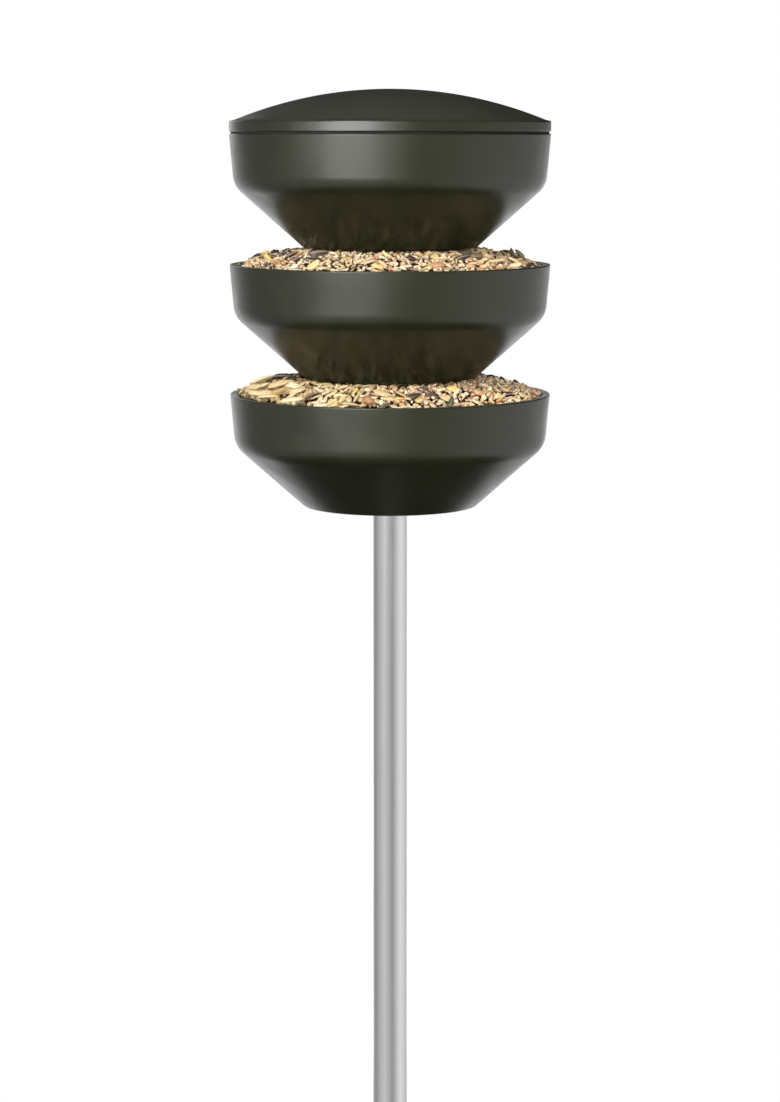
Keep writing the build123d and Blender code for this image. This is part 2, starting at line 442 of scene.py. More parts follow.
@dataclass(frozen=True)
class SeedSkin:
    """Skin of one kind of kernel: its range of shades, its stripes and its germ end."""

    name: str
    dark: Colour
    pale: Colour
    stripe: Colour | None = None
    stripe_share: float = 0.0
    stripe_count: float = 6.0
    germ: Colour | None = None
    roughness: float = 0.5
    skin_depth: float = 0.06 * MM
    roughness_play: float = 0.1
    shades: tuple[float, float] = (0.8, 1.1)
    rib_height: float = 0.5

    def material(self) -> bpy.types.Material:
        """Builds the finish.

        Returns:
            The material.
        """
        made, graph, shader = start_material(self.name, IOR=1.42)
        tone = Effect.KERNEL_TONE.place(graph)
        colour = graph.blend(tone["Tone"], self.dark, self.pale)
        shade = graph.spread(tone["Mottle"], 0.0, 1.0, *self.shades)
        turned = graph.maths("MULTIPLY", tone["Around"], self.stripe_count)
        ribs = graph.maths("SINE", graph.maths("ADD", turned, tone["Mottle"]))
        if self.stripe:
            band = graph.spread(ribs, 0.1, 0.7, 0.0, self.stripe_share)
            colour = graph.blend(band, colour, self.stripe)
        if self.germ:
            end = graph.spread(tone["Along"], 0.35, 0.95, 0.0, 1.0)
            colour = graph.blend(end, colour, self.germ)
        tinted = graph.node("ShaderNodeVectorMath", {0: colour, "Scale": shade}, operation="SCALE")
        graph.feed(shader.inputs["Base Color"], tinted.outputs[0])
        low, high = self.roughness - self.roughness_play, self.roughness + self.roughness_play
        graph.feed(shader.inputs["Roughness"], graph.spread(tone["Mottle"], 0.0, 1.0, low, high))
        height = graph.maths("ADD", tone["Mottle"], graph.maths("MULTIPLY", ribs, self.rib_height))
        roughen(graph, shader, height, self.skin_depth)
        return made


class Kernel(Enum):
    """Kinds of kernel in the mixed seed."""

    STRIPED_HULL = "striped_hull"
    BLACK_HULL = "black_hull"
    MAIZE = "maize"
    OAT = "oat"
    CHIP = "chip"
    WHEAT = "wheat"
    MILLET = "millet"
    RED_NUT = "red_nut"
    GREY_HULL = "grey_hull"


@dataclass(frozen=True)
class KernelForm:
    """Shape and finish of one kind of kernel.

    blunt and sharp shape its two ends, lens squares or thins its girth, crease is the depth of
    the furrow along it, and facets is the number of broken faces. variety, unevenness and bend
    are the shares by which one kernel differs from the next in size, surface and curve.
    """

    length: tuple[float, float]
    width: float
    thickness: float
    skin: SeedSkin
    blunt: float = 0.5
    sharp: float = 0.5
    lens: float = 1.0
    crease: float = 0.0
    facets: int = 0
    variety: float = 0.12
    rings: int = 7
    sides: int = 9
    crease_width: float = 0.5
    facet_reach: tuple[float, float] = (0.25, 0.65)
    unevenness: float = 0.035
    bend: float = 0.12

    @property
    def sharp_angle(self) -> float:
        """Angle in degrees from which an edge between two faces stays sharp."""
        return 26.0 if self.facets else 48.0

    def points(self, rng: np.random.Generator) -> np.ndarray:
        """Places one kernel's points in a box from -1 to 1, its length along X.

        Args:
            rng: draws this kernel's own irregularities.

        Returns:
            One row per point, the two ends last.
        """
        run = np.linspace(0, 1, self.rings + 2)[1:-1]
        peak = self.blunt / (self.blunt + self.sharp)
        girth = run**self.blunt * (1 - run) ** self.sharp
        girth /= peak**self.blunt * (1 - peak) ** self.sharp
        turn = np.linspace(0, 2 * np.pi, self.sides, endpoint=False)
        side = np.sign(np.cos(turn)) * np.abs(np.cos(turn)) ** self.lens
        rise = np.sign(np.sin(turn)) * np.abs(np.sin(turn)) ** self.lens
        furrow = 1 - self.crease * np.exp(-(((turn - 1.5 * np.pi) / self.crease_width) ** 2))
        shell = np.empty((self.rings, self.sides, 3))
        shell[..., 0] = (2 * run - 1)[:, None]
        shell[..., 1] = girth[:, None] * side * furrow
        shell[..., 2] = girth[:, None] * rise * furrow
        shell = np.vstack([shell.reshape(-1, 3), [[-1, 0, 0], [1, 0, 0]]])
        shell *= 1 + rng.normal(0, self.unevenness, (len(shell), 1))
        for _ in range(self.facets):
            face = rng.normal(size=3)
            face /= np.linalg.norm(face)
            past = np.maximum(shell @ face - rng.uniform(*self.facet_reach), 0)
            shell -= past[:, None] * face
        shell[:, 2] += rng.normal(0, self.bend) * (shell[:, 0] ** 2 - 0.4)
        return shell

    def faces(self) -> list[tuple[int, ...]]:
        """Joins the rings and closes the two ends.

        Returns:
            The point numbers of each face.
        """
        made = []
        first, last = self.rings * self.sides, self.rings * self.sides + 1
        for k in range(self.sides):
            near = (k + 1) % self.sides
            made.append((first, near, k))
            end = (self.rings - 1) * self.sides
            made.append((last, end + k, end + near))
            for ring in range(self.rings - 1):
                low = ring * self.sides
                made.append((low + k, low + near, low + self.sides + near, low + self.sides + k))
        return made

    def half_sizes(self, rng: np.random.Generator) -> np.ndarray:
        """Half length, width and thickness of one kernel."""
        sizes = rng.uniform(*self.length) * np.array([1.0, self.width, self.thickness])
        return sizes * rng.uniform(1 - self.variety, 1 + self.variety, 3) / 2


HULL_STRIPE = paint(204, 188, 166)
FORMS = {
    Kernel.STRIPED_HULL: KernelForm(
        (11 * MM, 15 * MM), 0.46, 0.3,
        SeedSkin(
            "striped_hull", paint(54, 38, 36), paint(104, 80, 70), HULL_STRIPE, 0.4, 4.0, roughness=0.45
        ),
        blunt=0.42, sharp=0.72, lens=1.12, rings=8, sides=10,
    ),
    Kernel.BLACK_HULL: KernelForm(
        (8 * MM, 10.5 * MM), 0.55, 0.38,
        SeedSkin("black_hull", paint(38, 30, 26), paint(70, 57, 48), HULL_STRIPE, 0.12, 6.0, roughness=0.4),
        blunt=0.42, sharp=0.7, lens=1.1, rings=8, sides=10,
    ),
    Kernel.MAIZE: KernelForm(
        (8 * MM, 11 * MM), 0.6, 0.36,
        SeedSkin(
            "maize_skin", paint(230, 192, 118), paint(248, 226, 164),
            germ=paint(248, 232, 190), roughness=0.36,
        ),
        blunt=0.3, sharp=0.55, lens=0.8, facets=3,
    ),
    Kernel.OAT: KernelForm(
        (11 * MM, 16 * MM), 0.32, 0.17,
        SeedSkin("oat_husk", paint(214, 182, 128), paint(247, 230, 186), paint(190, 150, 98), 0.3, 7.0),
        blunt=0.45, sharp=0.62, crease=0.25, rings=8, sides=9,
    ),
    Kernel.CHIP: KernelForm(
        (3.8 * MM, 7.6 * MM), 0.72, 0.52,
        SeedSkin("broken_nut", paint(238, 196, 148), paint(254, 242, 210), roughness=0.55),
        facets=9, variety=0.42,
    ),
    Kernel.WHEAT: KernelForm(
        (6 * MM, 8 * MM), 0.5, 0.44,
        SeedSkin("wheat_bran", paint(204, 154, 104), paint(250, 224, 182), paint(170, 118, 74), 0.25, 2.0),
        crease=0.3,
    ),
    Kernel.MILLET: KernelForm(
        (3.6 * MM, 4.8 * MM), 0.92, 0.85,
        SeedSkin("millet_coat", paint(200, 142, 100), paint(240, 204, 162), roughness=0.4),
        rings=6, sides=8,
    ),
    Kernel.RED_NUT: KernelForm(
        (7 * MM, 9.5 * MM), 0.74, 0.66,
        SeedSkin(
            "red_nut_skin", paint(176, 122, 86), paint(222, 176, 134), paint(136, 86, 58), 0.25, 9.0,
            roughness=0.45,
        ),
        blunt=0.42, sharp=0.55, variety=0.2,
    ),
    Kernel.GREY_HULL: KernelForm(
        (9 * MM, 12 * MM), 0.52, 0.34,
        SeedSkin("grey_hull", paint(78, 74, 54), paint(124, 116, 90), HULL_STRIPE, 0.15, 4.0, roughness=0.45),
        blunt=0.42, sharp=0.75, lens=1.1,
    ),
}


@dataclass(frozen=True)
class Drift:
    """A kind of kernel that has gathered on one side of a bowl."""

    kernel: Kernel
    angle: float
    spread: float
    share: float


@dataclass(frozen=True)
class Swell:
    """A side of a bowl where the heap stands higher or lower."""

    angle: float
    spread: float
    rise: float


@dataclass(frozen=True)
class Topping:
    """One kernel that lies on top of the heap at a chosen place.

    angle and radius give its place, heading the direction of its length in plan, and lean the
    angle by which its far end stands up.
    """

    kernel: Kernel
    angle: float
    radius: float
    heading: float
    length: float
    lean: float = 0.0


def nearness(angle: object, centre: float, spread: float) -> object:
    """Share from 0 to 1 by which an angle in radians lies near a direction in degrees."""
    off = (angle - math.radians(centre) + math.pi) % (2 * math.pi) - math.pi
    return np.exp(-0.5 * (off / math.radians(spread)) ** 2)


EVEN_SHARES = {
    Kernel.STRIPED_HULL: 0.012,
    Kernel.BLACK_HULL: 0.004,
    Kernel.MAIZE: 0.04,
    Kernel.OAT: 0.1,
    Kernel.CHIP: 0.5,
    Kernel.WHEAT: 0.24,
    Kernel.MILLET: 0.06,
    Kernel.RED_NUT: 0.005,
    Kernel.GREY_HULL: 0.006,
}


@dataclass(frozen=True)
class Corner:
    """Corner of a turned outline: its distance from the axis, its height and its rounding.

    curved marks a point of a longer curve, through which the outline runs on smoothly.
    """

    radius: float
    height: float
    rounding: float = 0.0
    curved: bool = False

    @property
    def place(self) -> np.ndarray:
        """Radius and height as one point."""
        return np.array([self.radius, self.height])


def arc_points(before: Corner, corner: Corner, after: Corner, step: float) -> list[np.ndarray]:
    """Rounds one corner of an outline.

    Args:
        before: the corner that the outline comes from.
        corner: the corner to round.
        after: the corner that the outline goes on to.
        step: the largest turn between two points, in radians.

    Returns:
        Points along the round, or the bare corner where it has none.
    """
    if not corner.rounding:
        return [corner.place]
    ways = [(other.place - corner.place) / math.dist(other.place, corner.place) for other in (before, after)]
    half = math.acos(ways[0] @ ways[1]) / 2
    middle = sum(ways) / np.linalg.norm(sum(ways))
    centre = corner.place + middle * corner.rounding / math.sin(half)
    ends = [corner.place + way * corner.rounding / math.tan(half) - centre for way in ways]
    first, last = (math.atan2(end[1], end[0]) for end in ends)
    turn = (last - first + math.pi) % (2 * math.pi) - math.pi
    angles = first + turn * np.linspace(0, 1, math.ceil(abs(turn) / step) + 1)
    return [centre + corner.rounding * np.array([math.cos(a), math.sin(a)]) for a in angles]


def fine_outline(corners: list[Corner], closed: bool = True) -> np.ndarray:
    """Divides an outline finely enough to shade smoothly.

    Args:
        corners: the outline's corners, counter-clockwise.
        closed: whether its last corner joins its first.

    Returns:
        One row of radius and height per point, with a guard point close to both ends of each
        straight run, so that a round doesn't shade into the flat beside it.
    """
    step, guard, longest = math.radians(5), 0.25 * MM, 5.0 * MM
    points: list[np.ndarray] = []
    bent: list[bool] = []
    for k, corner in enumerate(corners):
        after = corners[(k + 1) % len(corners)]
        arc = arc_points(corners[k - 1], corner, after, step)
        points += arc
        bent += [True] * (len(arc) - 1) + [corner.curved and after.curved]
    made = []
    for k, here in enumerate(points):
        made.append(here)
        there = points[(k + 1) % len(points)]
        run = math.dist(here, there)
        if not bent[k] and run > 4 * guard and (closed or k + 1 < len(points)):
            count = max(math.ceil(run / longest), 1)
            inner = np.linspace(guard / run, 1 - guard / run, count + 1)
            made += [here + (there - here) * share for share in inner]
    return np.array(made)


@dataclass(frozen=True)
class BowlForm:
    """Sizes that the three bowls share."""

    rim_radius: float = 115.0 * MM
    height: float = 81.1 * MM
    wall_height: float = 37.0 * MM
    wall_draft: float = 0.0907
    foot_radius: float = 62.1 * MM
    wall: float = 5.0 * MM
    knuckle_round: float = 18.0 * MM
    foot_round: float = 3.5 * MM
    rim_round: float = 0.8 * MM
    boss_height: float = 12.0 * MM
    bore_radius: float = 12.8 * MM
    boss_radius: float = 18.0 * MM
    sleeve_radius: float = 16.3 * MM

    @property
    def wall_foot_radius(self) -> float:
        """Outer radius where the upright wall meets the cone."""
        return self.rim_radius - self.wall_height * self.wall_draft

    @property
    def cone_height(self) -> float:
        """Height of that corner over the foot."""
        return self.height - self.wall_height

    @property
    def cone_run(self) -> float:
        """Radius that the cone gains for each unit of height."""
        return (self.wall_foot_radius - self.foot_radius) / self.cone_height

    @property
    def mouth_radius(self) -> float:
        """Inner radius at the rim."""
        return self.wall_radius(self.height, self.wall)

    def cone_radius(self, height: float, inset: float) -> float:
        """Radius of the cone at a height over the foot, moved inwards by inset."""
        return self.foot_radius + height * self.cone_run - inset * math.hypot(1, self.cone_run)

    def wall_radius(self, height: float, inset: float) -> float:
        """Radius of the upright wall at a height over the foot, moved inwards by inset."""
        rise = (height - self.cone_height) * self.wall_draft
        return self.wall_foot_radius + rise - inset * math.hypot(1, self.wall_draft)

    def outline(self, foot_z: float) -> list[Corner]:
        """Half section of a bowl.

        Args:
            foot_z: the height that its foot stands at.

        Returns:
            Its corners, counter-clockwise from the bore's lower edge.
        """
        gain = math.hypot(1, self.cone_run) - math.hypot(1, self.wall_draft)
        knuckle = self.cone_height + self.wall * gain / (self.cone_run - self.wall_draft)
        corners = [
            (self.bore_radius, 0, 0),
            (self.foot_radius, 0, self.foot_round),
            (self.wall_foot_radius, self.cone_height, self.knuckle_round),
            (self.rim_radius, self.height, self.rim_round),
            (self.mouth_radius, self.height, self.rim_round),
            (self.wall_radius(knuckle, self.wall), knuckle, self.knuckle_round - self.wall),
            (self.cone_radius(self.wall, self.wall), self.wall, self.foot_round),
            (self.boss_radius, self.wall, self.wall / 2),
            (self.boss_radius, self.boss_height, self.wall / 4),
            (self.bore_radius, self.boss_height, 0),
        ]
        return [Corner(radius, foot_z + height, rounding) for radius, height, rounding in corners]


class HeightMap:
    """Heights of a growing heap on a square grid, that kernels come to rest on.

    STEEPEST is the steepest slope that a kernel follows, and RESTING_SHARE the share of the
    ground under a kernel that it doesn't cut into.
    """

    STEEPEST = 0.9
    RESTING_SHARE = 0.96

    def __init__(self, reach: float, step: float = 0.6 * MM) -> None:
        """Lays out the grid.

        Args:
            reach: distance from the axis to the grid's edge.
            step: distance between grid points.
        """
        self.line = np.arange(-reach, reach + step, step)
        self.step = step
        self.east, self.north = np.meshgrid(self.line, self.line, indexing="ij")
        self.radius = np.hypot(self.east, self.north)
        self.angle = np.arctan2(self.north, self.east)
        self.height = np.zeros_like(self.radius)
        self.limit = np.full_like(self.radius, np.inf)

    def at(self, x: float, y: float) -> float:
        """Height at the grid point nearest to a place.

        Args:
            x: the place to the right.
            y: the place away from the viewer.

        Returns:
            The heap's height there.
        """
        last = len(self.line) - 1
        i = min(max(round((x - self.line[0]) / self.step), 0), last)
        j = min(max(round((y - self.line[0]) / self.step), 0), last)
        return self.height[i, j]

    def window(self, x: float, y: float, wide: float, deep: float) -> tuple[slice, slice]:
        """Finds the grid points around a place.

        Args:
            x: the place to the right.
            y: the place away from the viewer.
            wide: half the window's width.
            deep: half its depth.

        Returns:
            The rows and columns that the window covers.
        """
        i = np.searchsorted(self.line, (x - wide, x + wide))
        j = np.searchsorted(self.line, (y - deep, y + deep))
        return slice(*i), slice(*j)

    def lay(self, x: float, y: float, heading: float, half: np.ndarray, lean: np.ndarray) -> np.ndarray:
        """Turns a kernel to the slope under it.

        Args:
            x: its place to the right.
            y: its place away from the viewer.
            heading: the direction of its length.
            half: its half sizes.
            lean: its own small turns about its length and across it.

        Returns:
            Its turned axes as the columns of a matrix.
        """
        run = np.array([math.cos(heading), math.sin(heading)])
        side = np.array([-run[1], run[0]])
        slopes = []
        for way, size in ((run, half[0]), (side, half[1])):
            ahead, behind = (x, y) + way * size, (x, y) - way * size
            slope = (self.at(*ahead) - self.at(*behind)) / (2 * size)
            slopes.append(np.clip(slope, -self.STEEPEST, self.STEEPEST))
        along = np.array([*run, slopes[0] + math.tan(lean[1])])
        along /= np.linalg.norm(along)
        across = np.array([*side, slopes[1] + math.tan(lean[0])])
        across -= (across @ along) * along
        across /= np.linalg.norm(across)
        return np.column_stack([along, across, np.cross(along, across)])

    def drop(self, x: float, y: float, axes: np.ndarray, half: np.ndarray, ceiling: float) -> float | None:
        """Lets a kernel down onto the heap.

        Args:
            x: its place to the right.
            y: its place away from the viewer.
            axes: its turned axes.
            half: its half sizes.
            ceiling: the highest that its middle may lie.

        Returns:
            The height of its middle, or None where it finds no room.
        """
        spread = axes @ np.diag(half**2) @ axes.T
        reach = np.sqrt(np.diag(spread))
        rows, columns = self.window(x, y, reach[0], reach[1])
        form = np.linalg.inv(spread)
        dx, dy = self.east[rows, columns] - x, self.north[rows, columns] - y
        lean = form[0, 2] * dx + form[1, 2] * dy
        flat = form[0, 0] * dx**2 + 2 * form[0, 1] * dx * dy + form[1, 1] * dy**2 - 1
        room = lean**2 - form[2, 2] * flat
        inside = room > 0
        if not inside.any():
            return None
        root = np.sqrt(np.maximum(room, 0))
        under = (-lean - root) / form[2, 2]
        over = (-lean + root) / form[2, 2]
        ground = self.height[rows, columns]
        middle = np.quantile((ground - under)[inside], self.RESTING_SHARE)
        top = middle + over
        if middle > ceiling or (top > self.limit[rows, columns])[inside].any():
            return None
        ground[inside] = np.maximum(ground, top)[inside]
        return middle


class Heaping(Enum):
    """How seed lies in a bowl."""

    MOUND = "mound"
    FUNNEL = "funnel"


@dataclass
class SeedHeap:
    """Mixed seed in one bowl: a bed of meal, its dark brown also painted shade for the gaps deep between
    kernels, with kernels that rest on it and on each other.

    draw starts the random draws, and tries is the number of kernels that are let down. layer is
    the depth of kernels over the meal. cover and sink are shares of a kernel's half thickness: how
    far its middle stays under the surface, and how deep a topping sinks in. wall_play and
    lean_play are angles in radians by which kernels lie unevenly.
    """

    bowl: str
    fill: str
    heaping: Heaping
    draw: int
    drifts: tuple[Drift, ...]
    swells: tuple[Swell, ...] = ()
    toppings: tuple[Topping, ...] = ()
    tries: int = 14400
    form: BowlForm = BowlForm()
    mound_rise: float = 11.4 * MM
    funnel_low: float = 20.0 * MM
    funnel_high: float = 34.0 * MM
    funnel_inner: float = 25.0 * MM
    funnel_outer: float = 92.0 * MM
    foot_gap: float = 11.9 * MM
    layer: float = 6.0 * MM
    cover: float = 0.4
    sink: float = 0.9
    play: float = 0.4 * MM
    wall_play: float = 0.35
    lean_play: float = 0.22
    map_margin: float = 3.0 * MM
    mould_count: int = 12
    bed_turns: int = 180
    bed_rings: int = 28
    bed_play: float = 0.5 * MM

    def __post_init__(self) -> None:
        """Reads where the bowl stands."""
        low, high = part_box(self.bowl)
        self.foot_z, self.rim_z = low.z, high.z
        mound = self.heaping is Heaping.MOUND
        self.inner = self.form.sleeve_radius if mound else self.funnel_inner
        self.outer = self.form.mouth_radius if mound else self.funnel_outer

    def surface(self, radius: np.ndarray, angle: np.ndarray) -> np.ndarray:
        """Height of the finished heap.

        Args:
            radius: distances from the axis.
            angle: directions from the axis, in radians.

        Returns:
            The heights there.
        """
        if self.heaping is Heaping.FUNNEL:
            share = (radius - self.inner) / (self.outer - self.inner)
            return self.foot_z + self.funnel_low + (self.funnel_high - self.funnel_low) * share
        share = np.clip((radius - self.form.foot_radius) / (self.outer - self.form.foot_radius), 0, None)
        swell = sum(side.rise * nearness(angle, side.angle, side.spread) for side in self.swells)
        return self.rim_z + self.mound_rise * (1 - share**2) + swell * np.clip(4 * share, 0, 1)

    def start_map(self) -> HeightMap:
        """Starts the height map from the meal, the rim and the bowl above.

        Returns:
            The map before any kernel lies on it.
        """
        made = HeightMap(self.form.rim_radius + self.map_margin)
        made.height = self.surface(made.radius, made.angle) - self.layer
        made.height[made.radius < self.inner] = self.rim_z + self.mound_rise
        if self.heaping is Heaping.MOUND:
            made.height[made.radius > self.form.mouth_radius - self.play] = self.rim_z
            made.height[made.radius > self.form.rim_radius] = self.foot_z
            cone = np.maximum(made.radius - self.form.foot_radius, 0) / self.form.cone_run
            made.limit = self.rim_z + self.foot_gap + cone - self.play
        else:
            made.height[made.radius > self.outer] = self.rim_z
        return made

    def choose(self, angle: float, rng: np.random.Generator) -> Kernel:
        """Draws a kind of kernel.

        Args:
            angle: where it will lie round the bowl, in radians.
            rng: draws the kind.

        Returns:
            The kind.
        """
        shares = dict(EVEN_SHARES)
        for drift in self.drifts:
            shares[drift.kernel] += drift.share * nearness(angle, drift.angle, drift.spread)
        weights = np.array(list(shares.values()))
        return list(shares)[rng.choice(len(weights), p=weights / weights.sum())]

    def settle(self) -> dict[Kernel, list[tuple[np.ndarray, np.ndarray, np.ndarray]]]:
        """Drops kernels one by one until the heap is full.

        Returns:
            For each kind, the middle, the axes and the half sizes of every kernel at rest.
        """
        rng = np.random.default_rng(self.draw)
        heap = self.start_map()
        rest: dict[Kernel, list] = {kind: [] for kind in Kernel}
        for _ in range(self.tries):
            radius = math.sqrt(rng.uniform(self.inner**2, (self.outer - MM) ** 2))
            angle = rng.uniform(-math.pi, math.pi)
            kind = self.choose(angle, rng)
            half = FORMS[kind].half_sizes(rng)
            if radius + half[0] > self.outer:
                heading = angle + math.pi / 2 + rng.normal(0, self.wall_play)
            else:
                heading = rng.uniform(0, 2 * math.pi)
            x, y = radius * math.cos(angle), radius * math.sin(angle)
            axes = heap.lay(x, y, heading, half, rng.normal(0, self.lean_play, 2))
            ceiling = self.surface(radius, angle) - half[2] * self.cover
            height = heap.drop(x, y, axes, half, ceiling)
            if height is not None:
                rest[kind].append((np.array([x, y, height]), axes, half))
        for topping in self.toppings:
            rest[topping.kernel].append(self.top(topping, heap))
        return rest

    def top(self, topping: Topping, heap: HeightMap) -> tuple[np.ndarray, np.ndarray, np.ndarray]:
        """Lays one chosen kernel on the heap, a little sunk in.

        Args:
            topping: the kernel and its place.
            heap: the heights that it comes to rest on.

        Returns:
            Its middle, its axes and its half sizes.
        """
        form = FORMS[topping.kernel]
        half = topping.length / 2 * np.array([1.0, form.width, form.thickness])
        turn = math.radians(topping.angle)
        x, y = topping.radius * math.cos(turn), topping.radius * math.sin(turn)
        axes = heap.lay(x, y, math.radians(topping.heading), half, np.radians([0.0, topping.lean]))
        height = heap.drop(x, y, axes, half, math.inf)
        rest = heap.at(x, y) if height is None else height
        return np.array([x, y, rest - self.sink * half[2]]), axes, half

    def build(self, body: str) -> list[bpy.types.Object]:
        """Makes the heap's pieces.

        Args:
            body: the CAD body that the seed moves with.

        Returns:
            The bed of meal and one piece for each kind of kernel.
        """
        bed = self.bed()
        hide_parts(self.fill)
        pieces = [bed] + [self.kernel_piece(kind, laid) for kind, laid in self.settle().items() if laid]
        for piece in pieces:
            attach(piece, body)
        return pieces

    def kernel_piece(self, kind: Kernel, laid: list[tuple]) -> bpy.types.Object:
        """Joins all kernels of one kind into a piece.

        Args:
            kind: the kind of kernel.
            laid: the middle, axes and half sizes of each.

        Returns:
            The piece, with each kernel's shade and place kept for its finish.
        """
        form = FORMS[kind]
        rng = np.random.default_rng(self.draw + 1)
        moulds = [form.points(rng) for _ in range(self.mould_count)]
        count = len(moulds[0])
        local = np.array([moulds[rng.integers(len(moulds))] for _ in laid])
        world = np.array([
            middle + (shape * half) @ axes.T for shape, (middle, axes, half) in zip(local, laid)
        ])
        faces = form.faces()
        starts = range(0, len(laid) * count, count)
        rows = [tuple(start + point for point in face) for start in starts for face in faces]
        mesh = bpy.data.meshes.new(f"{self.fill}_{kind.value}")
        mesh.from_pydata(world.reshape(-1, 3).tolist(), [], rows)
        tone = mesh.attributes.new("kernel_tone", "FLOAT", "POINT")
        tone.data.foreach_set("value", np.repeat(rng.uniform(size=len(laid)), count))
        place = mesh.attributes.new("kernel_place", "FLOAT_VECTOR", "POINT")
        place.data.foreach_set("vector", local.ravel())
        mesh.materials.append(finish(form.skin))
        smooth(mesh, form.sharp_angle)
        return link(mesh)

    def bed(self) -> bpy.types.Object:
        """Makes the closed bed of meal under the kernels, uneven on top; its dark brown is partly painted
        shade for the gaps between kernels.

        Returns:
            The bed.
        """
        rng = np.random.default_rng(self.draw + 2)
        inner, outer = self.inner + self.play, self.outer - 2 * self.play
        turns = np.linspace(-np.pi, np.pi, self.bed_turns, endpoint=False)
        across = np.linspace(outer, inner, self.bed_rings)
        top = self.surface(*np.meshgrid(across, turns)) - self.layer
        top[:, 1:-1] += rng.normal(0, self.bed_play, (len(turns), len(across) - 2))
        low = self.foot_z + self.form.wall + self.play
        knuckle = self.form.wall_radius(self.form.cone_height, self.form.wall + MM)
        sides = np.array([inner, self.form.foot_radius - 1.5 * self.form.wall, min(outer, knuckle - 2 * MM)])
        shoulder = min(self.foot_z + self.form.cone_height + 2 * MM, top[:, 0].min() - MM)
        levels = np.array([low, low, shoulder])
        reach = np.concatenate([sides, across])
        points = np.empty((len(turns), len(reach), 3))
        points[..., 0] = reach * np.cos(turns)[:, None]
        points[..., 1] = reach * np.sin(turns)[:, None]
        points[..., 2] = np.hstack([np.tile(levels, (len(turns), 1)), top])
        return link(lathe_mesh(f"{self.fill}_meal_and_painted_shade", points, finish(MEAL_AND_PAINTED_SHADE)))


# Meal under the kernels, its colour darkened as painted shade for the gaps between them
MEAL_AND_PAINTED_SHADE = SeedSkin("seed_meal_and_painted_shade", paint(92, 60, 34), paint(140, 100, 62), roughness=0.8, skin_depth=0.5 * MM)


def lathe_mesh(
    name: str, points: np.ndarray, material: bpy.types.Material, caps: tuple[float, ...] = ()
) -> bpy.types.Mesh:
    """Joins rings of points into a mesh that runs round the axis.

    Args:
        name: the mesh's name.
        points: turns by outline points by three coordinates, the outline counter-clockwise.
        material: the finish.
        caps: heights on the axis where the outline starts and ends, if it isn't closed.

    Returns:
        The mesh.
    """
    turns, count = points.shape[:2]
    tips = [(0.0, 0.0, height) for height in caps]
    rows = []
    for turn in range(turns):
        here, there = turn * count, (turn + 1) % turns * count
        for k in range(count - len(caps) // 2):
            near = (k + 1) % count
            rows.append((here + k, there + k, there + near, here + near))
        if tips:
            rows.append((turns * count, there, here))
            rows.append((turns * count + 1, here + count - 1, there + count - 1))
    mesh = bpy.data.meshes.new(name)
    mesh.from_pydata(points.reshape(-1, 3).tolist() + tips, [], rows)
    mesh.materials.append(material)
    return mesh


def turned_mesh(
    name: str, corners: list[Corner], material: bpy.types.Material, turns: int = 256
) -> bpy.types.Mesh:
    """Turns an outline about the axis.

    Args:
        name: the mesh's name.
        corners: the outline, closed or running from the axis to the axis.
        material: the finish.
        turns: the number of steps round the axis.

    Returns:
        The mesh, not smoothed yet.
    """
    closed = corners[0].radius > 0
    outline = fine_outline(corners, closed)
    caps = () if closed else (outline[0, 1], outline[-1, 1])
    rings = outline if closed else outline[1:-1]
    angles = np.linspace(0, 2 * np.pi, turns, endpoint=False)[:, None]
    points = np.empty((turns, len(rings), 3))
    points[..., 0] = rings[:, 0] * np.cos(angles)
    points[..., 1] = rings[:, 0] * np.sin(angles)
    points[..., 2] = rings[:, 1]
    return lathe_mesh(name, points, material, caps)


def smooth(mesh: bpy.types.Mesh, sharp_angle: float = 30.0) -> None:
    """Shades a mesh smoothly except at edges that turn by more than an angle in degrees."""
    mesh.polygons.foreach_set("use_smooth", np.full(len(mesh.polygons), True))
    mesh.set_sharp_from_angle(angle=math.radians(sharp_angle))


def prisms(plans: list[np.ndarray], low: float, high: float) -> bpy.types.Object:
    """Upright prisms over outlines in plan.

    Args:
        plans: the outlines, counter-clockwise.
        low: the height of their feet.
        high: the height of their tops.

    Returns:
        One object that holds them all.
    """
    points, rows = [], []
    for plan in plans:
        start, count = len(points), len(plan)
        points += [(x, y, height) for height in (low, high) for x, y in plan]
        rows.append(tuple(range(start + count - 1, start - 1, -1)))
        rows.append(tuple(range(start + count, start + 2 * count)))
        for k in range(count):
            near = start + (k + 1) % count
            rows.append((start + k, near, near + count, start + k + count))
    mesh = bpy.data.meshes.new("cutter")
    mesh.from_pydata(points, [], rows)
    return link(mesh)


def cut(piece: bpy.types.Object, cutter: bpy.types.Object) -> None:
    """Cuts an object out of a piece.

    Args:
        piece: what is cut.
        cutter: the object that is cut out of it and then deleted.
    """
    step = piece.modifiers.new("cut", "BOOLEAN")
    step.operation, step.solver, step.object = "DIFFERENCE", "EXACT", cutter
    ready = piece.evaluated_get(bpy.context.evaluated_depsgraph_get())
    whole, piece.data = piece.data, bpy.data.meshes.new_from_object(ready)
    piece.modifiers.remove(step)
    piece.data.name = piece.name
    for mesh in (whole, cutter.data):
        bpy.data.meshes.remove(mesh)


def link(mesh: bpy.types.Mesh) -> bpy.types.Object:
    """Puts a mesh into the scene.

    Args:
        mesh: the mesh.

    Returns:
        An object of the same name.
    """
    made = bpy.data.objects.new(mesh.name, mesh)
    bpy.context.scene.collection.objects.link(made)
    return made


FINISHES: dict[str, bpy.types.Material] = {}


def finish(recipe: MouldedPlastic | GrainedSteel | SeedSkin) -> bpy.types.Material:
    """Finds the material of a finish, built the first time that it is asked for.

    Args:
        recipe: the finish.

    Returns:
        Its material.
    """
    if recipe.name not in FINISHES:
        FINISHES[recipe.name] = recipe.material()
    return FINISHES[recipe.name]


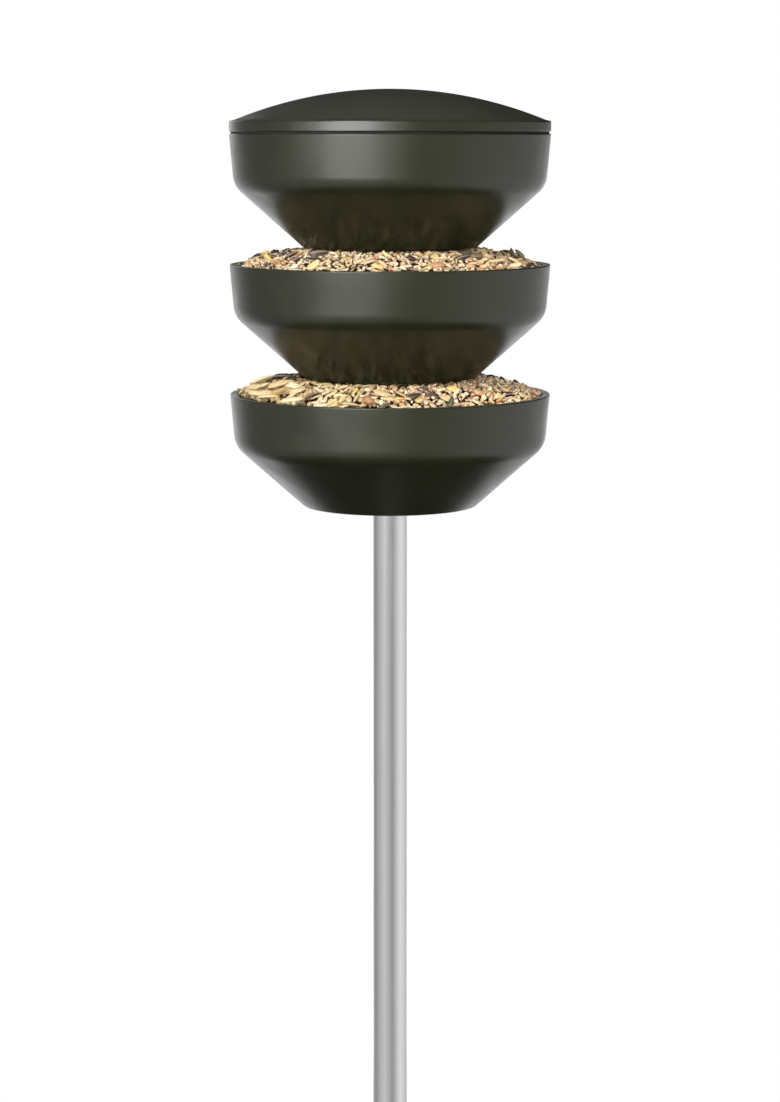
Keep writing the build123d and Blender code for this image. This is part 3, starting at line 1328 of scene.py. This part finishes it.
def dress(node: str, recipe: MouldedPlastic | GrainedSteel) -> None:
    """Gives a solid its finish.

    Args:
        node: the solid's name.
        recipe: the finish.
    """
    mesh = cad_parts[node].data
    mesh.materials.clear()
    mesh.materials.append(finish(recipe))
    log.info("dressed %s in %s", node, recipe.name)


GREEN_PLASTIC = MouldedPlastic(
    "green_plastic", paint(31, 33, 16), paint(34, 36, 19), paint(70, 72, 54), 0.33, dust=0.015
)
SPACER_PLASTIC = MouldedPlastic(
    "spacer_plastic", paint(36, 39, 28), paint(44, 47, 36), paint(80, 82, 70), 0.5
)
KNOB_PLASTIC = MouldedPlastic(
    "knob_plastic", paint(24, 25, 24), paint(32, 33, 32), paint(70, 70, 68), 0.48, 0.05 * MM, 0.9 * MM
)
SOFT_WASHER = MouldedPlastic(
    "soft_washer", paint(22, 22, 22), paint(30, 30, 30), paint(60, 60, 58), 0.75, 0.04 * MM, 0.4 * MM
)
DRAWN_TUBE = GrainedSteel("drawn_tube", paint(188, 188, 188), paint(214, 214, 214), 0.15, stretch=0.85)
TURNED_STEEL = GrainedSteel(
    "turned_steel", paint(190, 190, 189), paint(220, 220, 219), 0.3, turned=1.0, line_width=0.3 * MM
)


@dataclass(frozen=True)
class Pole:
    """Spiked two-part pole with the disc and washer that carry the bowls."""

    tubes: tuple[str, ...] = ("lower_tube", "upper_tube")
    turned: tuple[str, ...] = (
        "ground_spike", "joining_stud", "joining_socket", "support_disc", "tube_top_insert"
    )
    washer: str = "support_washer"

    def dress(self) -> None:
        """Gives the pole's pieces their finishes."""
        for node in self.tubes:
            dress(node, DRAWN_TUBE)
        for node in self.turned:
            dress(node, TURNED_STEEL)
        dress(self.washer, SOFT_WASHER)


class FloorOpening(Enum):
    """What is cut through a bowl's floor."""

    SLOTS = "slots"
    DRAINS = "drains"


@dataclass(frozen=True)
class Bowl:
    """One moulded bowl."""

    node: str
    opening: FloorOpening
    form: BowlForm = BowlForm()
    slot_count: int = 4
    slot_width: float = 16.0 * MM
    slot_span: float = 46.0
    drain_count: int = 6
    drain_width: float = 4.0 * MM
    slot_points: int = 25
    cap_points: int = 13
    drain_points: int = 32

    @property
    def opening_radius(self) -> float:
        """Distance of the openings from the axis."""
        return (self.form.boss_radius + self.form.foot_radius) / 2

    def slot_plan(self, middle: float) -> np.ndarray:
        """Outline in plan of one curved slot with round ends.

        Args:
            middle: the angle in radians that the slot is centred at.

        Returns:
            Its points, counter-clockwise.
        """
        half, side = math.radians(self.slot_span) / 2, self.slot_width / 2
        sweep = np.linspace(-half, half, self.slot_points)
        cap = np.linspace(0, np.pi, self.cap_points)[1:-1]
        ends = [self.opening_radius * np.exp(1j * (middle + turn)) for turn in (half, -half)]
        plan = np.concatenate([
            (self.opening_radius + side) * np.exp(1j * (middle + sweep)),
            ends[0] + side * np.exp(1j * (middle + half + cap)),
            (self.opening_radius - side) * np.exp(1j * (middle - sweep)),
            ends[1] + side * np.exp(1j * (middle - half + np.pi + cap)),
        ])
        return np.column_stack([plan.real, plan.imag])

    def drain_plan(self, middle: float) -> np.ndarray:
        """Outline in plan of one round drain hole.

        Args:
            middle: the angle in radians that the hole is centred at.

        Returns:
            Its points, counter-clockwise.
        """
        round_trip = np.exp(1j * np.linspace(0, 2 * np.pi, self.drain_points, endpoint=False))
        plan = self.opening_radius * np.exp(1j * middle) + self.drain_width / 2 * round_trip
        return np.column_stack([plan.real, plan.imag])

    def build(self) -> bpy.types.Object:
        """Turns the bowl, cuts its floor and puts it in the place of its solid.

        Returns:
            The bowl.
        """
        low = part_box(self.node)[0].z
        piece = link(turned_mesh(f"{self.node}_moulding", self.form.outline(low), finish(GREEN_PLASTIC)))
        slots = self.opening is FloorOpening.SLOTS
        count, plan = (self.slot_count, self.slot_plan) if slots else (self.drain_count, self.drain_plan)
        plans = [plan(turn) for turn in np.linspace(0, 2 * np.pi, count, endpoint=False)]
        cut(piece, prisms(plans, low - self.form.wall, low + 2 * self.form.wall))
        smooth(piece.data)
        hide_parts(self.node)
        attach(piece, self.node)
        return piece


@dataclass(frozen=True)
class Lid:
    """Domed lid with a flat lip, an upright band, a shadow step under it and a spigot."""

    node: str = "lid"
    bowl: BowlForm = BowlForm()
    radius: float = 115.0 * MM
    band_height: float = 7.6 * MM
    band_round: float = 0.8 * MM
    lip_width: float = 4.0 * MM
    lip_rise: float = 0.9 * MM
    lip_blend: float = 12.0 * MM
    dome_rise: float = 22.0 * MM
    wall: float = 3.0 * MM
    shoulder_round: float = 1.3 * MM
    shadow_gap: float = 1.4 * MM
    shadow_depth: float = 1.2 * MM
    spigot_height: float = 10.0 * MM
    spigot_wall: float = 2.5 * MM
    play: float = 0.6 * MM
    dome_points: int = 48

    def dome(self, edge_radius: float, edge_height: float, rise: float) -> list[Corner]:
        """Divides a round dome.

        Args:
            edge_radius: its radius at the edge.
            edge_height: the height of its edge.
            rise: the height of its crown over its edge.

        Returns:
            Points from its crown on the axis to just inside its edge.
        """
        ball = (edge_radius**2 + rise**2) / (2 * rise)
        reach = math.asin(edge_radius / ball)
        angles = np.linspace(0, reach, self.dome_points)[:-1]
        drops = ball * (1 - np.cos(angles))
        return [
            Corner(ball * math.sin(angle), edge_height + rise - drop, curved=True)
            for angle, drop in zip(angles, drops)
        ]

    def outline(self, rim_z: float) -> list[Corner]:
        """Half section of the lid.

        Args:
            rim_z: the height of the rim that it sits on.

        Returns:
            Its corners, from the crown inside to the crown outside.
        """
        band_low = rim_z + self.shadow_gap
        band_top = band_low + self.band_height
        dome_radius, dome_low = self.radius - self.lip_width, band_top + self.lip_rise
        spigot = self.bowl.mouth_radius - self.play
        spigot_low = spigot - self.spigot_height * self.bowl.wall_draft
        inner, inner_top = spigot_low - self.spigot_wall, band_top - self.wall / 2
        step = self.radius - self.shadow_depth
        inside = self.dome(inner, inner_top, dome_low + self.dome_rise - self.wall - inner_top)
        outside = self.dome(dome_radius, dome_low, self.dome_rise)
        return [
            *inside,
            Corner(inner, inner_top, self.wall),
            Corner(inner, rim_z - self.spigot_height),
            Corner(spigot_low, rim_z - self.spigot_height),
            Corner(spigot, rim_z),
            Corner(step, rim_z),
            Corner(step, band_low),
            Corner(self.radius, band_low, self.band_round),
            Corner(self.radius, band_top, self.shoulder_round),
            Corner(dome_radius, dome_low, self.lip_blend),
            *reversed(outside),
        ]

    def build(self) -> bpy.types.Object:
        """Turns the lid, leaves its shadow step matt and painted dark as its shade, and puts it in the place
        of its solid.

        Returns:
            The lid.
        """
        rim_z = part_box(self.node)[0].z + self.spigot_height
        mesh = turned_mesh(f"{self.node}_moulding", self.outline(rim_z), finish(GREEN_PLASTIC))
        smooth(mesh)
        places = np.array([point.co for point in mesh.vertices])
        reach, rise = np.hypot(places[:, 0], places[:, 1]), places[:, 2] - rim_z
        # The shadow step under the band, whose dark colour is painted shade
        recess = (reach < self.radius - self.band_round) & (reach > self.bowl.mouth_radius)
        recess &= (rise > -MM) & (rise < self.shadow_gap + 0.1 * MM)
        mesh.attributes.new("unpolished_painted_shade", "FLOAT", "POINT").data.foreach_set("value", recess.astype(float))
        piece = link(mesh)
        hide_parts(self.node)
        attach(piece, self.node)
        return piece


@dataclass(frozen=True)
class BowlStack:
    """Three bowls, the sleeves between them and the lid."""

    bowls: tuple[Bowl, ...] = (
        Bowl("lower_bowl", FloorOpening.DRAINS),
        Bowl("middle_bowl", FloorOpening.SLOTS),
        Bowl("upper_bowl", FloorOpening.SLOTS),
    )
    lid: Lid = Lid()
    sleeves: tuple[str, ...] = ("lower_spacer", "upper_spacer")

    def build(self) -> None:
        """Makes the bowls and the lid and dresses the sleeves."""
        for part in (*self.bowls, self.lid):
            piece = part.build()
            log.info("moulded %s, %d faces", piece.name, len(piece.data.polygons))
        for node in self.sleeves:
            dress(node, SPACER_PLASTIC)


@dataclass(frozen=True)
class Clamp:
    """Hand knob, its stud and its washer, which hold the stack down."""

    knob: str = "clamp_knob"
    turned: tuple[str, ...] = ("knob_stud", "clamp_washer")

    def dress(self) -> None:
        """Gives the clamp's pieces their finishes."""
        dress(self.knob, KNOB_PLASTIC)
        for node in self.turned:
            dress(node, TURNED_STEEL)


LOWER_DRIFTS = (
    Drift(Kernel.OAT, 210, 28, 4.0),
    Drift(Kernel.STRIPED_HULL, 172, 14, 0.5),
    Drift(Kernel.MAIZE, 250, 14, 0.1),
    Drift(Kernel.CHIP, 350, 35, 1.2),
    Drift(Kernel.CHIP, 285, 30, 0.6),
    Drift(Kernel.WHEAT, 320, 30, 0.15),
    Drift(Kernel.BLACK_HULL, 52, 20, 0.5),
    Drift(Kernel.STRIPED_HULL, 290, 35, 0.05),
)
MIDDLE_DRIFTS = (
    Drift(Kernel.MAIZE, 185, 22, 0.12),
    Drift(Kernel.STRIPED_HULL, 190, 25, 0.14),
    Drift(Kernel.BLACK_HULL, 172, 20, 0.14),
    Drift(Kernel.CHIP, 262, 30, 2.6),
    Drift(Kernel.STRIPED_HULL, 338, 22, 0.2),
    Drift(Kernel.GREY_HULL, 350, 22, 0.25),
    Drift(Kernel.WHEAT, 335, 25, 0.3),
    Drift(Kernel.BLACK_HULL, 42, 20, 0.5),
    Drift(Kernel.OAT, 345, 16, 0.4),
)
LOWER_TOPPINGS = (
    Topping(Kernel.STRIPED_HULL, 178, 77 * MM, -15, 15 * MM),
    Topping(Kernel.STRIPED_HULL, 169, 70 * MM, 20, 15 * MM),
    Topping(Kernel.STRIPED_HULL, 190, 71 * MM, -30, 14 * MM),
    Topping(Kernel.BLACK_HULL, 186, 84 * MM, 25, 12 * MM),
    Topping(Kernel.BLACK_HULL, 199, 75 * MM, -6, 11 * MM),
    Topping(Kernel.STRIPED_HULL, 203, 66 * MM, -28, 13 * MM),
    Topping(Kernel.STRIPED_HULL, 213, 70 * MM, -10, 13 * MM),
    Topping(Kernel.CHIP, 184, 66 * MM, 10, 7 * MM),
    Topping(Kernel.CHIP, 197, 68 * MM, 40, 7 * MM),
    Topping(Kernel.OAT, 189, 93 * MM, 12, 19 * MM),
    Topping(Kernel.OAT, 197, 98 * MM, 4, 20 * MM),
    Topping(Kernel.OAT, 205, 90 * MM, -22, 20 * MM),
    Topping(Kernel.OAT, 209, 103 * MM, -16, 21 * MM),
    Topping(Kernel.OAT, 215, 84 * MM, -28, 19 * MM),
    Topping(Kernel.OAT, 218, 108 * MM, -24, 19 * MM),
    Topping(Kernel.OAT, 224, 93 * MM, -18, 20 * MM),
    Topping(Kernel.OAT, 230, 105 * MM, -12, 18 * MM),
    Topping(Kernel.OAT, 191, 108 * MM, -74, 13 * MM),
    Topping(Kernel.OAT, 207, 107 * MM, -48, 16 * MM),
    Topping(Kernel.OAT, 203, 99 * MM, -12, 18 * MM),
    Topping(Kernel.OAT, 212, 92 * MM, 8, 17 * MM),
    Topping(Kernel.OAT, 221, 102 * MM, -25, 16 * MM),
    Topping(Kernel.GREY_HULL, 236, 110 * MM, 15, 8.5 * MM),
    Topping(Kernel.STRIPED_HULL, 237, 98 * MM, 20, 12 * MM),
    Topping(Kernel.MAIZE, 250, 107 * MM, -14, 12 * MM),
    Topping(Kernel.MAIZE, 249, 95 * MM, -20, 11 * MM),
    Topping(Kernel.RED_NUT, 262, 104 * MM, -40, 9 * MM),
    Topping(Kernel.STRIPED_HULL, 268, 108 * MM, 8, 10 * MM),
    Topping(Kernel.MAIZE, 274, 100 * MM, 10, 8 * MM),
    Topping(Kernel.BLACK_HULL, 280, 93 * MM, 12, 10 * MM),
    Topping(Kernel.GREY_HULL, 293, 107 * MM, 70, 9.5 * MM, 30),
    Topping(Kernel.MAIZE, 300, 87 * MM, -15, 10 * MM),
    Topping(Kernel.WHEAT, 312, 92 * MM, 20, 10 * MM),
    Topping(Kernel.MAIZE, 318, 103 * MM, 25, 8 * MM),
    Topping(Kernel.MAIZE, 334, 104 * MM, 40, 8 * MM),
    Topping(Kernel.BLACK_HULL, 24, 70 * MM, 20, 8 * MM),
    Topping(Kernel.BLACK_HULL, 30, 76 * MM, -12, 7 * MM),
    Topping(Kernel.BLACK_HULL, 19, 78 * MM, 5, 7 * MM),
    Topping(Kernel.BLACK_HULL, 12, 84 * MM, -20, 6 * MM),
    Topping(Kernel.BLACK_HULL, 6, 92 * MM, 10, 6 * MM),
)
MIDDLE_TOPPINGS = (
    Topping(Kernel.BLACK_HULL, 186, 96 * MM, 25, 10 * MM, 10),
    Topping(Kernel.MAIZE, 181, 84 * MM, -10, 9 * MM, 14),
    Topping(Kernel.GREY_HULL, 168, 76 * MM, 60, 9 * MM, 25),
    Topping(Kernel.MAIZE, 201, 95 * MM, 45, 10 * MM, 10),
    Topping(Kernel.STRIPED_HULL, 217, 86 * MM, 24, 11 * MM, 12),
    Topping(Kernel.STRIPED_HULL, 225, 93 * MM, 32, 11.5 * MM),
    Topping(Kernel.STRIPED_HULL, 232, 80 * MM, 6, 15 * MM),
    Topping(Kernel.MAIZE, 240, 104 * MM, 4, 11 * MM),
    Topping(Kernel.MAIZE, 266, 106 * MM, 8, 12 * MM),
    Topping(Kernel.BLACK_HULL, 280, 88 * MM, 20, 8 * MM),
    Topping(Kernel.RED_NUT, 289, 101 * MM, 15, 10 * MM),
    Topping(Kernel.STRIPED_HULL, 305, 88 * MM, 28, 13 * MM),
    Topping(Kernel.GREY_HULL, 314, 87 * MM, 30, 12 * MM, 10),
    Topping(Kernel.OAT, 322, 95 * MM, 8, 14 * MM),
    Topping(Kernel.OAT, 329, 103 * MM, 20, 15 * MM),
    Topping(Kernel.OAT, 335, 99 * MM, -50, 12 * MM, 20),
    Topping(Kernel.GREY_HULL, 350, 88 * MM, 100, 9 * MM, 60),
    Topping(Kernel.GREY_HULL, 345, 95 * MM, 160, 10 * MM),
    Topping(Kernel.BLACK_HULL, 38, 77 * MM, 15, 11 * MM),
    Topping(Kernel.BLACK_HULL, 354, 103 * MM, 20, 8 * MM),
    Topping(Kernel.BLACK_HULL, 30, 82 * MM, 10, 10 * MM),
    Topping(Kernel.BLACK_HULL, 18, 90 * MM, 0, 9.5 * MM),
)
HEAPS = {
    "lower_bowl": SeedHeap(
        "lower_bowl", "seed_fill_lower", Heaping.MOUND, 11, LOWER_DRIFTS,
        (Swell(180, 40, 0.4 * MM), Swell(5, 55, -0.3 * MM)), LOWER_TOPPINGS,
    ),
    "middle_bowl": SeedHeap(
        "middle_bowl", "seed_fill_middle", Heaping.MOUND, 23, MIDDLE_DRIFTS,
        (Swell(180, 30, -1.2 * MM), Swell(5, 45, -1.8 * MM)), MIDDLE_TOPPINGS,
    ),
    "upper_bowl": SeedHeap("upper_bowl", "seed_fill_upper", Heaping.FUNNEL, 37, (), tries=7800),
}


class LampRole(Enum):
    """What a lamp does: lights and shows in gloss, only lights, or only shows in gloss."""

    KEY = (True, True)
    FILL = (True, False)
    SHEEN = (False, True)


@dataclass(frozen=True)
class Lamp:
    """Soft box that looks at the bowls."""

    name: str
    azimuth: float
    distance: float
    height: float
    size: tuple[float, float]
    power: float
    role: LampRole
    aim: float = 1.1
    tint: tuple[float, float, float] = (1.0, 1.0, 1.0)

    def build(self) -> None:
        """Hangs the soft box; azimuth 0 is the viewer's side and 90 the right."""
        data = bpy.data.lights.new(self.name, "AREA")
        data.shape = "RECTANGLE"
        data.size, data.size_y = self.size
        data.energy, data.color = self.power, self.tint
        made = bpy.data.objects.new(self.name, data)
        turn = math.radians(self.azimuth)
        made.location = (self.distance * math.sin(turn), -self.distance * math.cos(turn), self.height)
        way = Vector((0, 0, self.aim)) - made.location
        made.rotation_euler = way.to_track_quat("-Z", "Y").to_euler()
        made.visible_camera = False
        made.visible_diffuse, made.visible_glossy = self.role.value
        bpy.context.scene.collection.objects.link(made)


@dataclass(frozen=True)
class Card:
    """White card that is seen in gloss alone and faces the axis."""

    name: str
    azimuth: float
    distance: float
    width: float
    heights: tuple[float, float]
    strength: float

    def build(self) -> None:
        """Sets up the card; azimuth 0 is the viewer's side and 90 the right."""
        low, high = self.heights
        turn = math.radians(self.azimuth)
        place = (self.distance * math.sin(turn), -self.distance * math.cos(turn), (low + high) / 2)
        bpy.ops.mesh.primitive_plane_add(size=1, location=place, rotation=(math.pi / 2, 0, turn))
        card = bpy.context.object
        card.name = self.name
        card.scale = (self.width, high - low, 1)
        card.visible_camera = card.visible_diffuse = card.visible_transmission = card.visible_shadow = False
        made, graph, _ = start_material(self.name)
        glow = graph.node("ShaderNodeEmission", {"Strength": self.strength})
        graph.feed(made.node_tree.nodes["Material Output"].inputs["Surface"], glow.outputs[0])
        card.data.materials.append(made)


SHEEN_TINT = (0.96, 1.0, 0.98)


@dataclass(frozen=True)
class Studio:
    """Pale floor, white surroundings, soft boxes, white cards and the camera.

    walls gives the brightness of the surroundings that gloss mirrors, by azimuth, ceiling that
    over them on the left and on the right, and zenith what is added straight overhead. The height
    of a direction is the sine of its elevation: wall_fade holds the heights where the walls fade
    into the ceiling, front_rise how much taller they are in front, on the left and on the right,
    and back_drop how much lower behind. ambient is the soft light from below and from above.

    floor_fade holds the distances from the axis where the floor fades into the white. Gloss that
    lies nearer to the axis than pole_reach is the pole's, and sees pole_share of its pale colour.
    """

    lamps: tuple[Lamp, ...] = (
        Lamp("key_box", -30, 2.2, 2.82, (1.2, 0.9), 65.0, LampRole.KEY),
        Lamp("front_box", 6, 2.4, 1.15, (1.6, 0.8), 42.0, LampRole.FILL),
        Lamp("side_box", 95, 1.9, 1.3, (2.0, 2.0), 16.0, LampRole.FILL),
        Lamp("back_box", 168, 2.2, 1.8, (1.8, 1.2), 9.0, LampRole.FILL),
        Lamp("sheen_box", -27.5, 2.4, 1.3, (1.7, 0.86), 41.0, LampRole.SHEEN, tint=SHEEN_TINT),
        Lamp("glow_box", -30, 2.5, 1.3, (3.8, 0.86), 26.0, LampRole.SHEEN, tint=SHEEN_TINT),
    )
    cards: tuple[Card, ...] = (
        Card("back_card", -174, 0.9, 1.1, (0.2, 1.215), 1.4),
        Card("edge_card", -155, 1.3, 0.5, (0.3, 1.7), 1.8),
    )
    walls: tuple[tuple[float, float], ...] = (
        (-148, 1.05), (-136, 0.6), (-124, 0.34), (-100, 0.5), (-70, 0.72), (-38, 0.95), (-12, 0.74),
        (14, 0.44), (30, 0.62), (50, 0.95), (70, 1.18), (90, 1.15), (110, 0.96), (125, 0.8),
        (140, 0.8), (150, 0.86),
    )
    ceiling: tuple[float, float] = (0.1, 0.0)
    zenith: float = 0.24
    wall_fade: tuple[float, float] = (-0.03, 0.06)
    front_rise: tuple[float, float] = (0.24, 0.04)
    back_drop: float = 0.01
    ambient: tuple[float, float] = (0.06, 0.24)
    sensor_mm: float = 36.0
    eye_height: float = 1.218
    eye_distance: float = 1.988
    focus_px: float = 2770.0
    horizon_px: float = 132.4
    shift: float = -0.14
    floor_radius: float = 1.5
    floor_fade: tuple[float, float] = (0.35, 1.45)
    floor_pale: Colour = paint(232, 232, 230)
    floor_dark: Colour = paint(52, 52, 50)
    pole_reach: tuple[float, float] = (0.03, 0.05)
    pole_share: float = 0.7

    def build(self) -> None:
        """Sets up lights, floor, surroundings and camera."""
        for lamp in self.lamps:
            lamp.build()
        self.surroundings()
        for card in self.cards:
            card.build()
        self.floor()
        self.camera()

    def surroundings(self) -> None:
        """White to look at; in gloss pale walls, tallest in front and on the left, and a dim ceiling."""
        world = bpy.data.worlds.new("studio")
        bpy.context.scene.world = world
        world.use_nodes = True
        graph = Graph(world.node_tree)
        path = graph.node("ShaderNodeLightPath").outputs
        way = graph.node("ShaderNodeTexCoord").outputs["Generated"]
        parts = graph.node("ShaderNodeSeparateXYZ", {0: way}).outputs
        turn = graph.maths("ARCTAN2", parts["X"], graph.maths("MULTIPLY", parts["Y"], -1.0))
        share = graph.maths("MULTIPLY_ADD", turn, 0.5 / math.pi, 0.5)
        ramp = graph.node("ShaderNodeValToRGB", {"Fac": share})
        for azimuth, level in self.walls:
            ramp.color_ramp.elements.new(azimuth / 360 + 0.5).color = (level, level, level, 1.0)
        for end in (ramp.color_ramp.elements[0], ramp.color_ramp.elements[-1]):
            end.color = (1.0, 1.0, 1.0, 1.0)
        side = graph.spread(parts["X"], -0.5, 0.5, *self.ceiling)
        ceiling = graph.maths("ADD", side, graph.spread(parts["Z"], 0.35, 0.8, 0.0, self.zenith))
        front = graph.spread(parts["X"], 0.1, 0.6, -self.front_rise[0], -self.front_rise[1])
        lift = graph.maths("ADD", parts["Z"], graph.spread(parts["Y"], 0.35, 0.75, front, self.back_drop))
        wall = graph.spread(lift, *self.wall_fade, ramp.outputs["Color"], ceiling)
        seen = graph.maths("MAXIMUM", path["Is Camera Ray"], path["Is Transmission Ray"])
        level = graph.maths("ADD", graph.maths("MULTIPLY", path["Is Glossy Ray"], wall), seen)
        fill = graph.spread(parts["Z"], -0.1, 0.2, *self.ambient)
        soft = graph.maths("MULTIPLY", path["Is Diffuse Ray"], fill)
        back = world.node_tree.nodes["Background"]
        graph.feed(back.inputs["Color"], graph.maths("ADD", level, soft))

    def floor(self) -> None:
        """Round floor under the spike that fades into the white around it.

        It is pale to the camera and mostly pale in the pole's gloss, dark to any other ray, and
        clear from below.
        """
        low = CAD_BOX[0].z
        bpy.ops.mesh.primitive_circle_add(
            vertices=128, radius=self.floor_radius, fill_type="NGON", location=(0, 0, low)
        )
        floor = bpy.context.object
        floor.name = "floor"
        made, graph, shader = start_material("pale_floor", Roughness=0.9)
        distance = graph.length(graph.node("ShaderNodeTexCoord").outputs["Object"])
        path = graph.node("ShaderNodeLightPath").outputs
        spot = graph.node("ShaderNodeNewGeometry").outputs
        # The point that a ray set out from before it met the floor, and its distance from the axis
        ray = {0: spot["Incoming"], 1: path["Ray Length"], 2: spot["Position"]}
        start = graph.node("ShaderNodeVectorMath", ray, operation="MULTIPLY_ADD").outputs["Vector"]
        reach = graph.length(graph.stretched(start, (1.0, 1.0, 0.0)))
        pole = graph.spread(reach, *self.pole_reach, self.pole_share, 0.0)
        shown = graph.maths("MAXIMUM", path["Is Camera Ray"], pole)
        graph.feed(shader.inputs["Base Color"], graph.blend(shown, self.floor_dark, self.floor_pale))
        edge = graph.spread(distance, *self.floor_fade, 0.0, 1.0)
        fade = graph.maths("MULTIPLY", edge, path["Is Camera Ray"])
        glow = graph.node("ShaderNodeEmission").outputs[0]
        top = graph.node("ShaderNodeMixShader", {0: fade, 1: shader.outputs[0], 2: glow}).outputs[0]
        clear = graph.node("ShaderNodeBsdfTransparent").outputs[0]
        whole = graph.node("ShaderNodeMixShader", {0: spot["Backfacing"], 1: top, 2: clear})
        graph.feed(made.node_tree.nodes["Material Output"].inputs["Surface"], whole.outputs[0])
        floor.data.materials.append(made)

    def camera(self) -> None:
        """Camera at the height of the lid's seam, tilted and shifted down to the photograph's frame."""
        data = bpy.data.cameras.new("camera")
        data.sensor_width = self.sensor_mm
        data.lens = self.sensor_mm * self.focus_px / IMAGE_HEIGHT
        data.shift_y = self.shift
        below = IMAGE_HEIGHT / 2 - self.horizon_px + self.shift * IMAGE_HEIGHT
        tilt = math.atan(below / self.focus_px)
        made = bpy.data.objects.new("camera", data)
        made.location = (0, -self.eye_distance, self.eye_height)
        made.rotation_euler = (math.pi / 2 - tilt, 0, 0)
        bpy.context.scene.collection.objects.link(made)
        bpy.context.scene.camera = made


def main() -> None:
    """Dresses the station, fills its bowls and sets up the studio."""
    logging.basicConfig(level=logging.INFO, format="%(name)s: %(message)s")
    bpy.context.scene.view_settings.view_transform = "Standard"
    Pole().dress()
    BowlStack().build()
    Clamp().dress()
    for body, heap in HEAPS.items():
        for piece in heap.build(body):
            log.info("filled %s with %s, %d faces", body, piece.name, len(piece.data.polygons))
    Studio().build()


if __name__ == "__main__":
    main()
